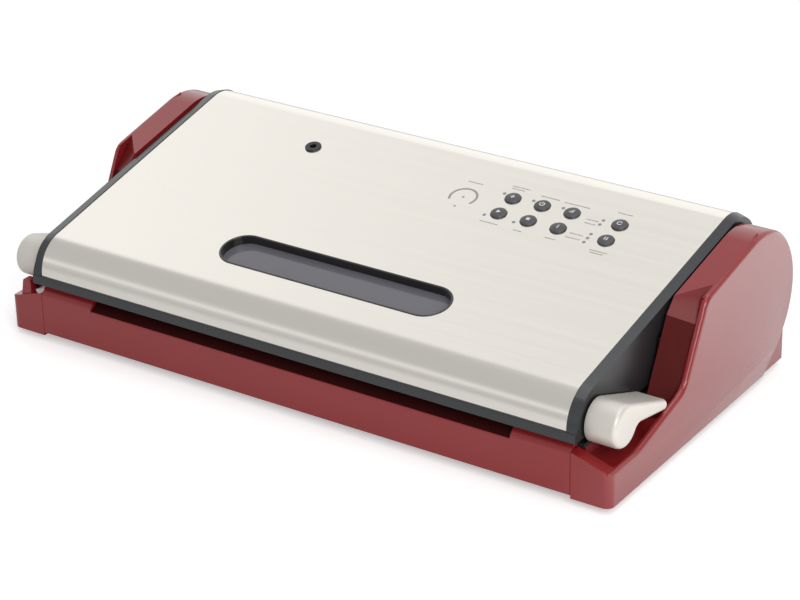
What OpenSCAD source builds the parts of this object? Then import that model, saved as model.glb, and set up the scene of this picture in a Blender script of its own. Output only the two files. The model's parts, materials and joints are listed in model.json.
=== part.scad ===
// Domestic vacuum sealer for bags. A brushed steel lid in a plastic frame turns up about two hinge
// pins at the rear; levers on the lid nose turn a lock shaft. The base holds a vacuum trough, a
// sealing bar, the pump and the power supply. X runs to the right, Y to the rear, Z up. The origin
// lies under the middle of the machine, on the plane of the feet.

/* [Base] */
// Width over the two side housings
body_w = 410; // [394:2:440]
// Width of each side housing
cheek_w = 18.5; // [17:0.5:21]
// Gap between the lid and each side housing
lid_gap = 1.9; // [1.4:0.1:2.6]
// Wall of the side housings
cheek_wall = 3; // [2:0.25:3.5]
// Width of the raised outer rim of a side housing
rim_w = 3.5; // [3.25:0.25:4.5]
// Height of the outer rim at the front corner
rim_z = 21; // [18.5:0.5:23]
// Height of the floor of the lever nest
nest_z = 19; // [15:0.5:20]
// Radius of the rounded back of a side housing
back_r = 44; // [40:0.5:46]
// Height of the front apron
apron_z = 31.5; // [31:0.1:32]
// Wall of the front apron
apron_wall = 3; // [2:0.25:4]
// Height of the bag slot's sill at the front face
sill_z = 24.8; // [22:0.2:27]
// Length of the bag slot
slot_w = 287; // [270:1:310]
// Thickness of the pan floor
floor_t = 2.5; // [2:0.25:3.5]
// Thickness of the rear cover
rear_t = 3; // [2:0.25:4]
// Height of the feet below the pan
foot_h = 4; // [3:0.25:6]
// Diameter of the feet
foot_d = 16; // [12:1:20]

/* [Lid] */
// Distance of the nose centre behind the front face
nose_y = 20.5; // [20:0.25:22]
// Height of the nose centre above the pan's underside
nose_z = 40.5; // [39:0.25:42]
// Radius of the rounded nose
nose_r = 21; // [20.5:0.25:22]
// Distance of the hinge axis behind the front face
hinge_y = 177; // [172:1:190]
// Height of the hinge axis
hinge_z = 70; // [67:0.5:73]
// Radius of the lid's rear edge about the hinge axis
crest_r = 24; // [22:0.5:26]
// Gap between the lid's rear edge and the hinge trough
trough_gap = 1.2; // [0.9:0.1:2]
// Height of the lid's underside over the chamber
lid_z = 34.3; // [34:0.1:35]
// Distance of the lid's step behind the front face
step_y = 84; // [82:1:90]
// Depth of the rear underside below the hinge axis
rear_drop = 10; // [9:0.5:12]
// Width of the plastic edging beside the steel cover
edge_w = 6; // [4:0.5:8]
// Height of the edging above the steel cover
edge_proud = 0.4; // [0:0.1:0.6]
// Thickness of the steel cover
steel_t = 0.8; // [0.5:0.1:1.2]
// Thickness of the frame under the steel cover
frame_t = 2; // [1.5:0.25:3]
// Thickness of the frame's side walls
side_t = 2.5; // [2:0.25:3.5]
// Thickness of the chamber liner and the rear tray
liner_t = 2; // [1.5:0.25:2.5]

/* [Window] */
// Length of the window
window_l = 155; // [120:1:180]
// Width of the window
window_w = 28.6; // [22:0.2:32]
// Distance of the window's middle up the slope from the nose
window_s = 29.3; // [26:0.5:34]
// Depth of the lens below the steel
lens_depth = 5; // [3:0.25:7]
// Thickness of the lens
lens_t = 2; // [1.5:0.25:3]
// Wall of the window bezel
bezel_wall = 1.4; // [1:0.1:2]

/* [Controls] */
// Diameter of a button
button_d = 9.6; // [7:0.2:10]
// Height of a button above the steel
button_h = 1.6; // [1.4:0.1:3.5]
// Travel of a button
button_travel = 1; // [0.6:0.1:1.4]
// Pitch of the buttons across the lid
button_px = 19.7; // [17:0.1:21]
// Pitch of the buttons up the slope
button_ps = 15.9; // [14:0.1:18]
// Distance of the first button row up the slope from the nose
button_s = 116.2; // [111:0.2:118]
// Distance of the first button column from the middle
button_x = 56.5; // [50:0.5:62]
// Distance of the last button column from the middle
button_last_x = 127; // [120:0.5:134]
// Diameter of a light pipe
pipe_d = 2.2; // [1.2:0.1:2.4]
// Distance of the accessory port left of the middle
port_x = 85.4; // [75:0.5:100]
// Distance of the accessory port up the slope from the nose
port_s = 133.6; // [125:0.5:138]
// Outer diameter of the accessory port's flange
port_d = 10; // [9:0.25:13]
// Bore of the accessory port
port_bore = 4; // [3:0.1:5]

/* [Lock] */
// Radius of a lever's round nose
lever_r = 12.4; // [11.6:0.2:13]
// Length of a lever from its axis to the centre of its tip
lever_l = 40; // [36:0.5:44]
// Radius of a lever's tip
tip_r = 3.2; // [2.5:0.1:4]
// Diameter of the lock shaft
shaft_d = 6; // [5:0.25:7]
// Thickness of a hook
hook_t = 4; // [3:0.25:5]
// Diameter of a strike pin
strike_d = 4; // [3:0.25:4.5]

/* [Chamber] */
// Height of the chamber deck
deck_z = 30; // [29:0.1:30.5]
// Thickness of the deck
deck_t = 2.5; // [2:0.25:3]
// Length of the vacuum trough
trough_w = 316; // [290:2:320]
// Distance of the trough behind the front face
trough_y = 35; // [34:0.5:38]
// Width of the trough from front to rear
trough_d = 40; // [30:1:41]
// Depth of the trough below the deck
trough_depth = 17; // [12:0.5:19]
// Width of the gaskets
gasket_w = 4; // [3:0.25:5]
// Gap between facing seals of the base and the closed lid
seal_gap = 0.4; // [0.3:0.05:0.5]
// Length of the sealing bar
bar_l = 324; // [300:2:326]
// Width of the sealing bar
bar_w = 8.4; // [7:0.2:9]

/* [Pump] */
// Outer diameter of the motor
motor_d = 36; // [30:1:40]
// Length of the motor
motor_l = 62; // [50:1:70]
// Diameter of the motor shaft
rotor_d = 4; // [3:0.25:5]
// Outer diameter of the vacuum hose
hose_d = 7; // [6:0.25:8]

/* [Joints] */
// Diameter of the hinge pins
pin_d = 6; // [5:0.25:8]
// Radial clearance of a running fit
run_gap = 0.06; // [0.03:0.01:0.09]
// Gap between neighbouring pieces of the housing
fit = 0.3; // [0.2:0.05:0.5]

/* [Hidden] */
$fn = 64;
eps = 0.02;
snug = 0.02;

// ---- Places shared by several pieces ----
half_w = body_w / 2;
tower_x = half_w - cheek_w;
lid_x = tower_x - lid_gap;
hook_r = nose_r - steel_t - frame_t - 2 * fit;
steel_x = lid_x - edge_w;
block_x = lid_x - 3.8;
rim_x = half_w - rim_w;
inner_x = tower_x - fit;
trough_r = crest_r + trough_gap;
rear_y = hinge_y + trough_r + rear_t;
rear_in = rear_y - rear_t;
rear_z = hinge_z - rear_drop;
bay_y = step_y + 4;
bay_z = rear_z - 2.5;
deck_y = 8.3;
nose_gap = hinge_y - nose_y;
centre_gap = norm([nose_gap, hinge_z - nose_z]);
tilt = atan2(hinge_z - nose_z, nose_gap) + asin((crest_r - nose_r) / centre_gap);
back_y = hinge_y - 9.6;
back_z = skin_z(back_y) - back_r / cos(tilt);
back_max = back_y + back_r;
strip_proud = 0.8;
front_min = nose_y - nose_r - edge_proud - strip_proud;
mid_y = (back_max + front_min) / 2;

HOUSING = "#8e1a20";
SLATE = "#3f464a";
BLACK = "#1d1d1f";
STEEL = "#cfcac0";
SATIN = "#d6d2c8";
ZINC = "#b9bcc0";

// Contact point of the sloping top with the nose and with the rear edge, moved in by an inset
function nose_t(i) = [nose_y, nose_z] + (nose_r - i) * [-sin(tilt), cos(tilt)];
function crest_t(i) = [hinge_y, hinge_z] + (crest_r - i) * [-sin(tilt), cos(tilt)];
// Height of the lid's top plane at a distance behind the front face
function skin_z(y) = nose_t(0)[1] + (y - nose_t(0)[0]) * tan(tilt);
// Depth of a horizontal plane below the steel, measured square to the slope at a place on it
function depth_to(z, s) = (nose_t(0)[1] + s * sin(tilt) - z) / cos(tilt);

// Points of a polygon whose corners [y, z, radius] are rounded
function unit(v) = v / norm(v);
function turn(a) = a > 180 ? a - 360 : (a < -180 ? a + 360 : a);
function corner(a, b, c) =
  let (p = [b[0], b[1]], u = unit([a[0], a[1]] - p), w = unit([c[0], c[1]] - p))
  let (half = acos(max(-1, min(1, u * w))) / 2, o = p + unit(u + w) * b[2] / sin(half))
  let (p0 = p + u * b[2] / tan(half) - o, p1 = p + w * b[2] / tan(half) - o)
  let (a0 = atan2(p0[1], p0[0]), sweep = turn(atan2(p1[1], p1[0]) - a0), n = ceil(abs(sweep) / 7))
  [for (k = [0 : n]) o + b[2] * [cos(a0 + sweep * k / n), sin(a0 + sweep * k / n)]];
function rounded(pts) = let (n = len(pts)) [for (i = [0 : n - 1])
  each (pts[i][2] > 0 ? corner(pts[(i + n - 1) % n], pts[i], pts[(i + 1) % n])
                      : [[pts[i][0], pts[i][1]]])];

// ---- Helpers ----
// Moves the machine from its front-edge frame to the part's own frame
module placed() { translate([0, -mid_y, foot_h]) children(); }
// Carries a (y, z) outline along X
module along_x(x0, x1) { translate([x0, 0, 0]) rotate([90, 0, 90]) linear_extrude(x1 - x0) children(); }
module box(x, y, z) { translate([x[0], y[0], z[0]]) cube([x[1] - x[0], y[1] - y[0], z[1] - z[0]]); }
module both_sides() {
  children();
  mirror([1, 0, 0]) children();
}
// Bar of round section along X
module rod_x(x0, x1, y, z, r) { translate([x0, y, z]) rotate([0, 90, 0]) cylinder(h = x1 - x0, r = r); }
module rod_y(x, y0, y1, z, r) { translate([x, y0, z]) rotate([-90, 0, 0]) cylinder(h = y1 - y0, r = r); }
module rod_z(x, y, z0, z1, r) { translate([x, y, z0]) cylinder(h = z1 - z0, r = r); }
// Local frame on the lid's slope: y runs up the slope, z stands square to the steel
module on_slope(x, s) {
  translate([x, nose_t(0)[0], nose_t(0)[1]]) rotate([tilt, 0, 0]) translate([0, s, 0]) children();
}
module stadium(l, w, z0, z1) {
  translate([0, 0, z0]) linear_extrude(z1 - z0) union() {
    square([l - w, w], center = true);
    translate([(l - w) / 2, 0]) circle(d = w);
    translate([-(l - w) / 2, 0]) circle(d = w);
  }
}

// ---- Base: housing ----
apron_foot = 1.5;
apron_back = deck_y - fit;
lip = 4.5;
module front_apron() {
  lip_pts = rounded([[0, apron_foot, 1], [0, apron_z - lip, 2], [lip, apron_z, 1.5], [apron_back, apron_z, 0],
    [apron_back, apron_z - apron_wall, 0], [lip + 1, apron_z - apron_wall, 0],
    [apron_wall, apron_z - lip - 2, 0], [apron_wall, apron_foot, 0]]);
  sill_pts = rounded([[0, apron_foot, 1], [0, sill_z, 1.5], [apron_back, deck_z, 0],
    [apron_back, deck_z - apron_wall, 0], [apron_wall, sill_z - apron_wall + 0.8, 0],
    [apron_wall, apron_foot, 0]]);
  end_pts = rounded([[0, sill_z - 4, 0], [0, apron_z - lip, 2], [lip, apron_z, 1.5],
    [apron_back, apron_z, 0], [apron_back, sill_z, 0], [apron_wall, sill_z - 4, 0]]);
  half_slot = slot_w / 2;
  color(HOUSING) placed() {
    along_x(-half_slot, half_slot) polygon(sill_pts);
    both_sides() {
      along_x(half_slot, block_x - fit) polygon(lip_pts);
      along_x(half_slot, half_slot + apron_wall) polygon(end_pts);
    }
  }
}

// Corners of the side housing's outline: rising rim, steep front of the tower, top in the lid's plane
tower_y = step_y + 20.6;
steep = 62.6;
steep_z = 34;
foot_corner = [tower_y - (skin_z(tower_y) - steep_z) / tan(steep), steep_z];
module back_2d(i) {
  rear_pt = [back_y, back_z] + (back_r - i) * [cos(60), -sin(60)];
  translate([back_y, back_z]) circle(r = back_r - i);
  polygon([[tower_y, -i], [back_y + 8.6, -i], rear_pt, [back_y, back_z],
    [back_y, back_z] + (back_r - i) * [-sin(tilt), cos(tilt)], [tower_y, skin_z(tower_y) - i / cos(tilt)]]);
}
module cheek_2d() {
  back_2d(0);
  polygon(rounded([[0, 0, 1], [0, rim_z, 3], [30, rim_z, 30], [foot_corner[0], foot_corner[1], 14],
    [tower_y, skin_z(tower_y), 10], [back_y, skin_z(back_y), 0], [back_y, 0, 0]]));
}
// Front of the tower beside the lid: a steep face that runs back towards the rim, chamfered on top
face_y = tower_y - 12.7;
face_z = skin_z(tower_y - 4.3) - 8;
face_lean = steep;
chamfer_lean = 43.6;
face_sweep = 31;
module behind_face(lean) {
  translate([tower_x, face_y, face_z]) rotate([lean - 90, 0, 0]) rotate([0, 0, face_sweep])
    translate([-back_r, -2 * back_r, -3 * back_r]) cube([3 * back_r, 2 * back_r, 5 * back_r]);
}
module tower() {
  difference() {
    along_x(tower_x, rim_x + eps) union() {
      back_2d(0);
      polygon([[nose_y, 0], [nose_y, skin_z(nose_y)], [tower_y + 1, skin_z(tower_y + 1)], [tower_y + 1, 0]]);
    }
    behind_face(face_lean);
    behind_face(chamfer_lean);
  }
}
nest_front = 7;
corner_x = half_w - 5.5;
nest_back = face_y - (face_z - nest_z) / tan(face_lean) + 2;
cavity_y = face_y + 16;
boss_r = 9;
side_screw_z = 10;
side_screws = [28, 62, 120, 160];
module right_housing() {
  wall = cheek_wall;
  difference() {
    intersection() {
      union() {
        along_x(rim_x, half_w) cheek_2d();
        tower();
        box([tower_x, rim_x + eps], [nest_front, face_y], [0, nest_z]);
        translate([0, apron_back, 0]) rotate([90, 0, 0]) linear_extrude(apron_back)
          polygon([[block_x, 0], [half_w, 0], [half_w, rim_z], [corner_x, rim_z + 1.2],
            [block_x, apron_z - lip + 1]]);
      }
      linear_extrude(2 * half_w)
        polygon(rounded([[block_x, 0, 0], [half_w, 0, 5], [half_w, back_max + 1, 0],
          [block_x, back_max + 1, 0]]));
    }
    // hollow of the tower, open below
    along_x(tower_x + wall, half_w - wall) intersection() {
      back_2d(wall);
      translate([cavity_y, -wall]) square([back_max, skin_z(back_max)]);
    }
    // hollow under the lever nest
    box([tower_x + wall, half_w - wall], [apron_back + wall, nest_back - wall], [-eps, nest_z - wall]);
    box([tower_x + wall, half_w - wall], [nest_back - wall - eps, cavity_y + eps], [-eps, nest_z - wall]);
    rod_x(tower_x - 1, tower_x + wall + 1, hinge_y, hinge_z, pin_d / 2 + snug);
    for (y = side_screws) rod_x(tower_x - 1, tower_x + wall + 1, y, side_screw_z, screw_d / 2);
  }
  difference() {
    rod_x(tower_x + wall, tower_x + wall + 8.5, hinge_y, hinge_z, boss_r);
    rod_x(tower_x + wall - 1, tower_x + wall + 7, hinge_y, hinge_z, pin_d / 2 + snug);
  }
  for (y = side_screws) difference() {
    rod_x(tower_x + wall, tower_x + wall + 6, y, side_screw_z, 3);
    rod_x(tower_x + wall - 1, tower_x + wall + 5, y, side_screw_z, screw_d / 2);
  }
}
module right_cheek() { color(HOUSING) placed() right_housing(); }
// The left housing carries a lug in front of its lever
lug_x = [tower_x + 3, tower_x + 11];
lug_y = [1, 5.5];
lug_z = 34;
module left_cheek() {
  color(HOUSING) placed() mirror([1, 0, 0]) union() {
    right_housing();
    translate([0, lug_y[1], 0]) rotate([90, 0, 0]) linear_extrude(lug_y[1] - lug_y[0])
      polygon(rounded([[lug_x[0], rim_z - 2, 0], [lug_x[1], rim_z - 2, 0], [lug_x[1] - 2.6, lug_z, 2.2],
        [lug_x[0], lug_z, 2.2]]));
  }
}

screw_d = 2.6;
foot_x = half_w - 40;
foot_y = [26, hinge_y + 9];
motor_x = -110;
pan_front = apron_wall + fit;
pan_back = rear_in - fit;
pan_wall = 2;
inlet_x = half_w - 75;
inlet_z = 22;
vent_pitch = 6;
vent_w = 2.5;
deck_x = lid_x - 0.2;
ledge_z = side_screw_z + 8;
board_x = [inlet_x - 70, inlet_x + 30];
board_y = [bay_y + 10, bay_y + 60];
board_z = floor_t + 4;
module bottom_pan() {
  corner_y = rear_in - 1;
  corner_z = 20.5;
  wall_front = apron_back + fit + pan_wall;
  color(HOUSING) placed() difference() {
    union() {
      box([-inner_x, inner_x], [apron_back + fit, pan_back], [0, floor_t]);
      box([-block_x + fit, block_x - fit], [pan_front, apron_back + 1], [0, floor_t]);
      box([-block_x + 3, block_x - 3], [pan_front, pan_front + pan_wall], [0, sill_z - 6]);
      both_sides() {
        box([inner_x - pan_wall, inner_x], [wall_front, pan_back], [0, ledge_z]);
        box([deck_x - pan_wall, inner_x], [wall_front, bay_y - fit], [ledge_z - pan_wall, ledge_z]);
        box([deck_x - pan_wall, deck_x], [wall_front, bay_y - fit],
          [ledge_z - eps, deck_z - deck_t - fit / 3]);
        // square lower rear corner behind the rounded side housing
        difference() {
          along_x(inner_x - pan_wall, half_w - 1) difference() {
            polygon([[back_y + 10, 0], [corner_y, 0], [corner_y, corner_z], [back_y + 10, corner_z]]);
            translate([back_y, back_z]) circle(r = back_r + fit);
            translate([fit, -fit]) back_2d(0);
            translate([0, -fit]) square([back_y + 10, 2]);
          }
        }
      }
      for (x = board_x, y = board_y)
        rod_z(x + (x == board_x[0] ? 5 : -5), y + (y == board_y[0] ? 5 : -5), floor_t - eps, board_z, 3);
    }
    both_sides() for (y = foot_y) rod_z(foot_x, y, -1, floor_t + 1, 2.5 + snug);
    for (k = [0 : 9]) box([motor_x + vent_pitch * k, motor_x + vent_w + vent_pitch * k],
      [hinge_y - 14, hinge_y + 12], [-1, floor_t + 1]);
    both_sides() for (y = side_screws)
      rod_x(inner_x - pan_wall - 1, inner_x + 1, y, side_screw_z, screw_d / 2 + 0.2);
  }
}

module feet() {
  color(BLACK) placed() both_sides() for (y = foot_y) {
    rod_z(foot_x, y, -foot_h, 0, foot_d / 2);
    rod_z(foot_x, y, -eps, floor_t, 2.5);
  }
}

module base_screws() {
  color(ZINC) placed() both_sides() for (y = side_screws) {
    rod_x(inner_x - pan_wall - 1.8, inner_x - pan_wall, y, side_screw_z, 2.6);
    rod_x(inner_x - pan_wall - eps, tower_x + cheek_wall + 4, y, side_screw_z, screw_d / 2 - snug);
  }
}

inlet_w = 26;
inlet_h = 18;
vent_z = [14, 34];
module rear_cover() {
  color(HOUSING) placed() difference() {
    along_x(-inner_x, inner_x)
      polygon(rounded([[rear_in, 0, 0], [rear_in, hinge_z + 2, 0.8], [rear_y, hinge_z + 2, 2],
        [rear_y, 0, 1]]));
    box([inlet_x - inlet_w / 2 - 0.1, inlet_x + inlet_w / 2 + 0.1], [rear_in - 1, rear_y + 1],
      [inlet_z - inlet_h / 2 - 0.1, inlet_z + inlet_h / 2 + 0.1]);
    for (k = [0 : 11]) box([motor_x - 10 + vent_pitch * k, motor_x - 10 + vent_w + vent_pitch * k],
      [rear_in - 1, rear_y + 1], vent_z);
  }
}

module power_inlet() {
  flange = 3;
  color(BLACK) placed() difference() {
    union() {
      box([inlet_x - inlet_w / 2, inlet_x + inlet_w / 2], [rear_in - 14, rear_y + eps],
        [inlet_z - inlet_h / 2, inlet_z + inlet_h / 2]);
      box([inlet_x - inlet_w / 2 - flange, inlet_x + inlet_w / 2 + flange], [rear_y, rear_y + 1.5],
        [inlet_z - inlet_h / 2 - flange, inlet_z + inlet_h / 2 + flange]);
    }
    translate([inlet_x, rear_y + 2, inlet_z]) rotate([90, 0, 0]) stadium(18, 10, 0, 15);
    for (x = [-4.3, 4.3]) rod_y(inlet_x + x, rear_in - 15, rear_in, inlet_z, 1.2);
  }
}

module inlet_pins() {
  color("#c9a54a") placed() for (x = [-4.3, 4.3])
    rod_y(inlet_x + x, rear_in - 18, rear_in, inlet_z, 1.2 - snug);
}

// ---- Base: chamber ----
bar_y = 19.5;
bar_sink = 6;
bar_up = 0.9;
tape_up = bar_up + 0.35;
deck_wall = 2;
hook_room = 3.5;
hook_x = bar_l / 2 + fit + deck_wall + hook_room + hook_t / 2;
pocket_x = [hook_x - hook_t / 2 - hook_room, hook_x + hook_t / 2 + hook_room];
pocket_y = [deck_y + 0.9, nose_y + hook_r + hook_room];
pocket_z = nose_z - hook_r - 2.5;
gasket_x = trough_w / 2 + 1.5 + gasket_w;
gasket_y = [trough_y - 1.5 - gasket_w, trough_y + trough_d + 1.5 + gasket_w];
gasket_h = (lid_z - deck_z - seal_gap) / 2;
hose_x = motor_x + motor_l + 34;
hose_z = 19;
switch_x = deck_x - 8.4;
switch_y = 56;
module trough_block(grow) {
  box([-trough_w / 2 - grow, trough_w / 2 + grow], [trough_y - grow, trough_y + trough_d + grow],
    [deck_z - trough_depth - grow, deck_z + 1 - grow / 2]);
}
module chamber_deck() {
  wall = deck_wall;
  color(BLACK) placed() difference() {
    union() {
      box([-deck_x, deck_x], [deck_y, bay_y - fit / 3], [deck_z - deck_t, deck_z]);
      trough_block(wall);
      box([-bar_l / 2 - fit - wall, bar_l / 2 + fit + wall],
        [bar_y - bar_w / 2 - wall, bar_y + bar_w / 2 + wall], [deck_z - bar_sink - wall, deck_z]);
      both_sides() box([pocket_x[0] - wall, pocket_x[1] + wall], [deck_y, pocket_y[1] + wall],
        [pocket_z - wall, deck_z]);
      rod_y(hose_x, trough_y + trough_d, trough_y + trough_d + 10, hose_z, hose_d / 2 - 1);
    }
    trough_block(0);
    box([-bar_l / 2 - fit, bar_l / 2 + fit], [bar_y - bar_w / 2 - eps, bar_y + bar_w / 2 + eps],
      [deck_z - bar_sink, deck_z + 1]);
    both_sides() {
      box(pocket_x, pocket_y, [pocket_z, deck_z + 1]);
      rod_z(switch_x, switch_y, deck_z - deck_t - 1, deck_z + 1, 1.8);
    }
    rod_y(hose_x, trough_y + trough_d - 1, trough_y + trough_d + 11, hose_z, 1.25);
  }
}

module gasket_ring(z0, z1) {
  difference() {
    box([-gasket_x, gasket_x], gasket_y, [z0, z1]);
    box([-gasket_x + gasket_w, gasket_x - gasket_w], [gasket_y[0] + gasket_w, gasket_y[1] - gasket_w],
      [z0 - 1, z1 + 1]);
  }
}
module lower_gasket() { color(BLACK) placed() gasket_ring(deck_z, deck_z + gasket_h); }
module upper_gasket() { color(BLACK) placed() gasket_ring(lid_z - gasket_h, lid_z); }

module sealing_bar() {
  color(ZINC) placed()
    box([-bar_l / 2, bar_l / 2], [bar_y - bar_w / 2, bar_y + bar_w / 2],
      [deck_z - bar_sink, deck_z + bar_up]);
}
module heating_element() {
  color("#8d8a84") placed()
    box([-bar_l / 2, bar_l / 2], [bar_y - 1.5, bar_y + 1.5], [deck_z + bar_up, deck_z + bar_up + 0.2]);
}
module release_tape() {
  color("#b3925f") placed() difference() {
    box([-bar_l / 2, bar_l / 2], [bar_y - bar_w / 2, bar_y + bar_w / 2], [deck_z + bar_up, deck_z + tape_up]);
    box([-bar_l, bar_l], [bar_y - 1.5, bar_y + 1.5], [deck_z + bar_up - 1, deck_z + bar_up + 0.2]);
  }
}
module pressure_strip() {
  color("#a8362c") placed() box([-bar_l / 2, bar_l / 2], [bar_y - bar_w / 2 + 0.2, bar_y + bar_w / 2 - 0.2],
    [deck_z + tape_up + seal_gap, lid_z]);
}

strike_y = 12;
strike_z = 29;
module strikes() {
  plate = 1.2;
  color(ZINC) placed() both_sides() {
    for (x = [pocket_x[0] + fit, pocket_x[1] - fit - plate])
      box([x, x + plate], [strike_y - 2.5, strike_y + 2.5], [pocket_z, strike_z + strike_d / 2 + 0.3]);
    rod_x(pocket_x[0] + fit + eps, pocket_x[1] - fit - eps, strike_y, strike_z, strike_d / 2);
  }
}

// Lid switches: one at each end, pressed by the closed lid through the deck
module lid_switch() {
  top = deck_z - deck_t;
  color(BLACK) placed() both_sides() {
    box([switch_x - 3, switch_x + 3], [switch_y - 10, switch_y + 10], [top - 10, top]);
    rod_z(switch_x, switch_y, top - eps, lid_z - fit, 1.4);
  }
}

// ---- Base: rear deck with the hinge trough ----
module rear_deck_2d(solid) {
  wall = deck_t;
  difference() {
    union() {
      difference() {
        translate([bay_y, solid ? ledge_z : deck_z - deck_t]) square([hinge_y - bay_y, bay_z]);
        if (!solid) translate([bay_y + wall, -deck_z]) square([hinge_y - bay_y, bay_z - wall + deck_z]);
      }
      translate([hinge_y, hinge_z]) circle(r = trough_r + wall);
    }
    translate([hinge_y, hinge_z]) circle(r = trough_r);
    translate([bay_y - 1, bay_z]) square([hinge_y - bay_y + 1, 3 * trough_r]);
    translate([hinge_y - eps, hinge_z - 5]) square([3 * trough_r, 3 * trough_r]);
    translate([pan_back, 0]) square([3 * trough_r, 3 * trough_r]);
  }
}
module rear_deck() {
  color(BLACK) placed() {
    along_x(-inner_x, inner_x) rear_deck_2d(false);
    both_sides() along_x(inner_x - deck_t, inner_x) rear_deck_2d(true);
  }
}

module hinge_pins() {
  color(ZINC) placed() both_sides()
    rod_x(lid_x - 11, tower_x + cheek_wall + 6.9, hinge_y, hinge_z, pin_d / 2);
}

// ---- Base: pump and electrics ----
pump_y = bay_y + 34;
pump_z = 26;
motor_end = motor_x + motor_l;
module pump_bracket() {
  color(ZINC) placed() {
    box([motor_x - 2, motor_end + 44], [pump_y - 22, pump_y + 22], [floor_t, floor_t + 2]);
    for (x = [motor_x + 6, motor_end - 10]) difference() {
      box([x, x + 4], [pump_y - 16, pump_y + 16], [floor_t + 2 - eps, pump_z]);
      rod_x(x - 1, x + 5, pump_y, pump_z, motor_d / 2 + snug);
    }
  }
}
module motor_can() {
  color(ZINC) placed() difference() {
    rod_x(motor_x, motor_end, pump_y, pump_z, motor_d / 2);
    rod_x(motor_x + 2, motor_end - 3, pump_y, pump_z, motor_d / 2 - 2);
    rod_x(motor_x - 1, motor_end + 1, pump_y, pump_z, rotor_d / 2 + run_gap);
    for (a = [0 : 60 : 300]) rotate_about_pump(a) rod_x(motor_x - 1, motor_x + 3, pump_y + 11, pump_z, 2);
  }
}
module rotate_about_pump(a) {
  translate([0, pump_y, pump_z]) rotate([a, 0, 0]) translate([0, -pump_y, -pump_z]) children();
}
module motor_rotor() {
  throw_r = 3.5;
  color("#8a5a3a") placed() {
    rod_x(motor_x - 3, motor_end + 22, pump_y, pump_z, rotor_d / 2);
    difference() {
      rod_x(motor_x + 10, motor_end - 10, pump_y, pump_z, motor_d / 2 - 4);
      for (a = [0 : 45 : 315]) rotate_about_pump(a)
        box([motor_x, motor_end], [pump_y - 1.2, pump_y + 1.2], [pump_z + motor_d / 2 - 8, pump_z + motor_d]);
    }
    rod_x(motor_end + 8, motor_end + 18, pump_y + throw_r, pump_z, 8);
  }
}
head_x = [motor_end, motor_end + 42];
module pump_head() {
  color(SLATE) placed() difference() {
    union() {
      box(head_x, [pump_y - 20, pump_y + 20], [floor_t + 2, pump_z + 20]);
      box([head_x[0] + 8, head_x[1] - 8], [pump_y - 14, pump_y + 14], [pump_z + 20 - eps, pump_z + 27]);
      rod_y(hose_x, pump_y - 29, pump_y - 20 + eps, hose_z, hose_d / 2 - 1);
      rod_x(head_x[1] - eps, head_x[1] + 9, pump_y - 10, hose_z, hose_d / 2 - 1);
    }
    rod_x(head_x[0] - 1, head_x[0] + 24, pump_y, pump_z, 14);
    rod_y(hose_x, pump_y - 30, pump_y - 15, hose_z, 1.25);
    rod_x(head_x[1] - 6, head_x[1] + 10, pump_y - 10, hose_z, 1.25);
  }
}
valve_x = head_x[1] + 24;
module release_valve() {
  color("#d8d4c4") placed() difference() {
    union() {
      box([valve_x, valve_x + 24], [pump_y - 20, pump_y], [floor_t, hose_z + 8]);
      rod_z(valve_x + 12, pump_y - 10, hose_z + 8 - eps, hose_z + 22, 8);
      rod_x(valve_x - 9, valve_x + eps, pump_y - 10, hose_z, hose_d / 2 - 1);
    }
    rod_x(valve_x - 10, valve_x + 8, pump_y - 10, hose_z, 1.25);
  }
}
// One hose from the trough to the pump, one from the pump to the valve
module vacuum_hose() {
  color(BLACK) placed() {
    difference() {
      rod_y(hose_x, trough_y + trough_d + 2.5, pump_y - 20.5, hose_z, hose_d / 2);
      rod_y(hose_x, trough_y, pump_y, hose_z, hose_d / 2 - 1 + snug);
    }
    difference() {
      rod_x(head_x[1] + 0.5, valve_x - 0.5, pump_y - 10, hose_z, hose_d / 2);
      rod_x(head_x[1], valve_x, pump_y - 10, hose_z, hose_d / 2 - 1 + snug);
    }
  }
}

board_t = 1.6;
board_top = board_z + board_t;
module power_board() {
  color("#2f6b45") placed() box(board_x, board_y, [board_z, board_top]);
}
module transformer() {
  x = [board_x[0] + 8, board_x[0] + 44];
  y = [board_y[0] + 7, board_y[1] - 7];
  color("#6f6a62") placed() difference() {
    union() {
      box(x, [y[0] + 4, y[1] - 4], [board_top, board_top + 30]);
      box([x[0] + 9, x[1] - 9], y, [board_top, board_top + 26]);
    }
    for (s = [x[0] - 1, x[1] - 6]) box([s, s + 7], [y[0] + 10, y[1] - 10], [board_top + 8, board_top + 22]);
  }
}
module board_parts() {
  mid = (board_y[0] + board_y[1]) / 2;
  color("#2b2f38") placed() {
    for (k = [0 : 2]) rod_z(board_x[1] - 40 + 13 * k, mid + 12, board_top, board_top + 18, 5);
    box([board_x[1] - 45, board_x[1] - 26], [mid - 16, mid - 4], [board_top, board_top + 15]);
    box([board_x[1] - 20, board_x[1] - 8], [mid - 18, mid - 2], [board_top, board_top + 10]);
  }
}

// ---- Lid ----
shell = steel_t + frame_t;
wall_x = lid_x - side_t;
inner_front = nose_y - nose_r + shell;
inner_step = step_y - shell;
tray_end = hinge_y - 12;
module lid_outline(i) {
  front = nose_y - nose_r + i;
  step = step_y - i;
  far = 2 * hinge_y;
  difference() {
    union() {
      translate([nose_y, nose_z]) circle(r = nose_r - i);
      translate([hinge_y, hinge_z]) circle(r = crest_r - i);
      polygon([[front - eps, lid_z - 1], [front - eps, nose_z + eps], nose_t(i - eps), crest_t(i - eps),
        [hinge_y, hinge_z], [hinge_y, rear_z - 1], [step, rear_z - 1], [step, lid_z - 1]]);
    }
    translate([-far, -far]) square([far + step, far + lid_z]);
    translate([step, -far]) square([far, far + rear_z]);
  }
}
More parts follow.
